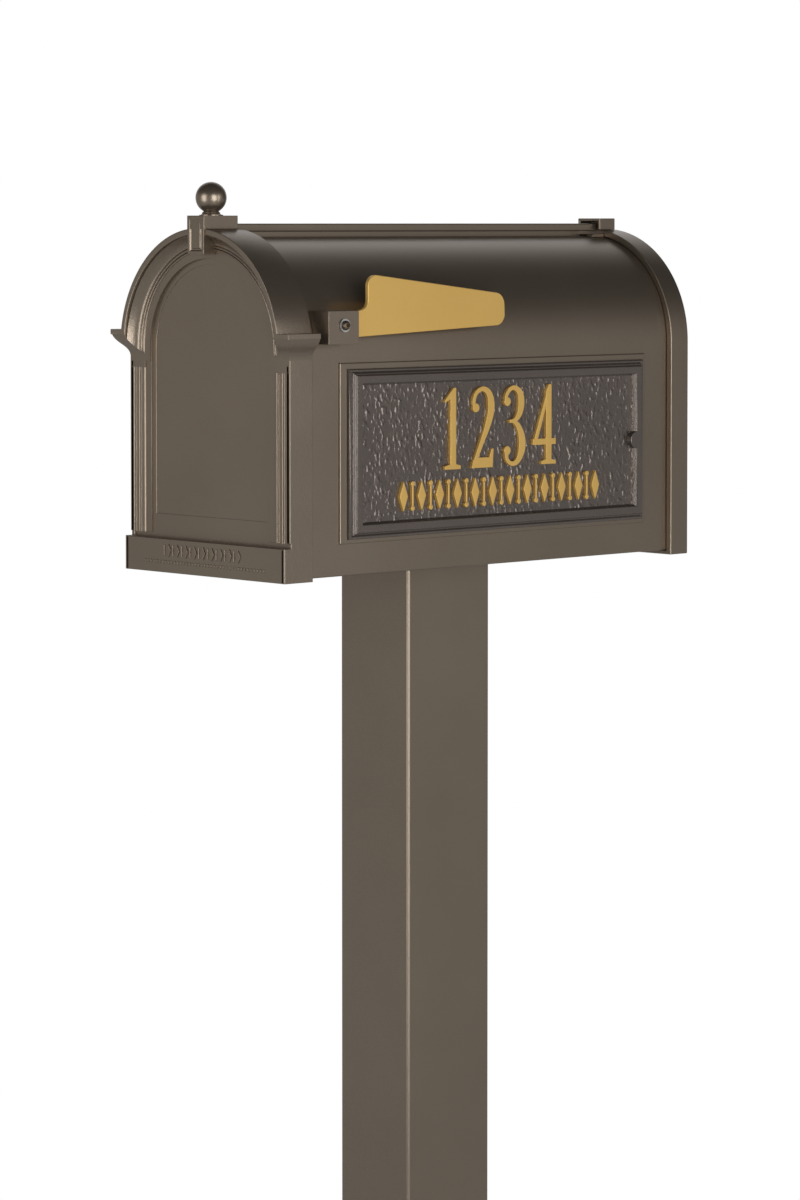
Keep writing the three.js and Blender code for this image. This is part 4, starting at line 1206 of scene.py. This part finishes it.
ONE = [[(5, 0), (27, 0), (27, 3.6), (20.6, 5.4), (20.6, 81.5), (17.2, 81.5), (5, 69.5), (5, 66.6),
        (12.6, 70), (12.6, 5.4), (5, 3.6)]]
TWO = [brush([(5.5, 60, 4), (3.8, 66, 4.2), (7, 75, 4.4), (16, 79.4, 5.0), (24.5, 75, 7.2), (28, 65, 8.8),
              (26.8, 53, 8.6), (21.5, 39, 7), (13, 22, 5.4), (5.6, 7, 4.8)]),
       arc(6.8, 60.5, 4.6, 0, 345, 16),
       [(0.5, 0), (30, 0), (31.4, 19), (28.6, 19), (25.5, 10.6), (7, 10.6), (2.8, 8)]]
THREE = [brush([(5.5, 66, 4), (5.4, 71, 4.2), (10, 77.4, 4.4), (17, 79.2, 5), (24.5, 74, 7.4),
                (26.6, 64, 8.4), (24, 53, 7), (17.4, 46.4, 4.6), (10, 45.4, 3.4)]),
         brush([(15, 46, 3.6), (22.5, 40, 6.4), (27.6, 28, 8.8), (27.2, 16, 8.8), (22, 5.8, 6.4),
                (14, 2.3, 4.8), (7, 6.4, 4.4), (5.2, 14, 4.4)]),
         arc(7, 65.5, 4.6, 0, 345, 16), arc(6.8, 16, 4.6, 0, 345, 16)]
FOUR = [[(19.4, 0.0), (27.4, 0.0), (27.4, 81.5), (23.6, 81.5), (19.4, 74)],
        [(13, 0), (33.6, 0), (33.6, 3.6), (27.4, 5.2), (19.4, 5.2), (13, 3.6)],
        [(0.6, 20), (33.6, 20), (33.6, 26.4), (0.6, 26.4)],
        [(0.6, 21), (6.2, 21), (27, 79), (23.6, 81.4)]]

gold_parts = []
NUMERALS = (("one", ONE), ("two", TWO), ("three", THREE), ("four", FOUR))
for start, (name, strokes) in zip(NUMBER_STARTS, NUMERALS):
    for i, outline in enumerate(strokes):
        gold_parts.append(raised(f"{name}_{i}", outline, start, NUMBER_FOOT, NUMBER_TOP - 0.04 * i))

# %% Row of ornament under the numerals
ROW_FOOT = 58
ROW_HEIGHT = 30
ROW_START = 152
ROW_PITCH = 24.6
ROW_COUNT = 12
lozenge = raised("row_lozenge", [(-5.6, ROW_HEIGHT / 2), (0, 0), (5.6, ROW_HEIGHT / 2), (0, ROW_HEIGHT)],
                 ROW_START, ROW_FOOT)
stem = raised("row_stem", [(11.1, 4), (13.5, 4), (13.5, ROW_HEIGHT - 4), (11.1, ROW_HEIGHT - 4)],
              ROW_START, ROW_FOOT)
dots = [raised(f"row_dot_{i}", arc(12.3, level, 2.7, 0, 340, 17), ROW_START, ROW_FOOT)
        for i, level in enumerate((3, ROW_HEIGHT - 3))]
shifts = [(0, ROW_PITCH * i, 0) for i in range(1, ROW_COUNT)]
gold_parts += copies(lozenge, shifts)
for shape in (stem, *dots):
    gold_parts += copies(shape, shifts[:-1])
numerals = join("numerals", gold_parts)

# %% [markdown]
# The far side has the same plaque. A mirrored copy would show its numerals reversed, so the copy is
# turned half a turn about the middle of the box instead, which is the same as mirroring it twice.

# %% Both plaques
PLAQUE_MIDDLE = at(0, (PLAQUE_LOW[0] + PLAQUE_HIGH[0]) / 2, 0).y


def turned_copy(piece, name):
    choose(piece)
    bpy.ops.object.duplicate()
    copy = bpy.context.object
    copy.name = name
    copy.scale = (-1, -1, 1)
    copy.location = (0, 2 * PLAQUE_MIDDLE, 0)
    bpy.ops.object.transform_apply(location=True, rotation=False, scale=True)
    return copy


far_plaque = turned_copy(plaque, "plaque_far_side")
far_numerals = turned_copy(numerals, "numerals_far_side")
plaque.name, numerals.name = "plaque_flag_side", "numerals_flag_side"
fit(plaque, "box_and_post", "plaque_bronze", PLAQUE_BRONZE, "plaque_right")
fit(far_plaque, "box_and_post", "plaque_bronze", PLAQUE_BRONZE, "plaque_left")
fit(numerals, "box_and_post", "gold_paint", GOLD)
fit(far_numerals, "box_and_post", "gold_paint", GOLD)

# %% [markdown]
# ## The pieces that stay as the model has them
# Screws, bushes, the catch and the plates inside the box have their right shape already. Each takes the
# finish of its own slot in the record.

# %% Finishes of the remaining CAD nodes
SLOT_FINISH = {
    "bronze_paint": BRONZE, "plaque_bronze": PLAQUE_BRONZE, "gold_paint": GOLD,
    "zinc_steel": ZINC, "dark_screw": DARK_SCREW, "black_nylon": NYLON,
}
for name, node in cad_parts.items():
    finish = SLOT_FINISH[node.data.materials[0].name.split(".")[0]]
    node.data.materials.clear()
    node.data.materials.append(finish)

# %% Clearing the selection
for thing in bpy.context.selected_objects:
    thing.select_set(False)
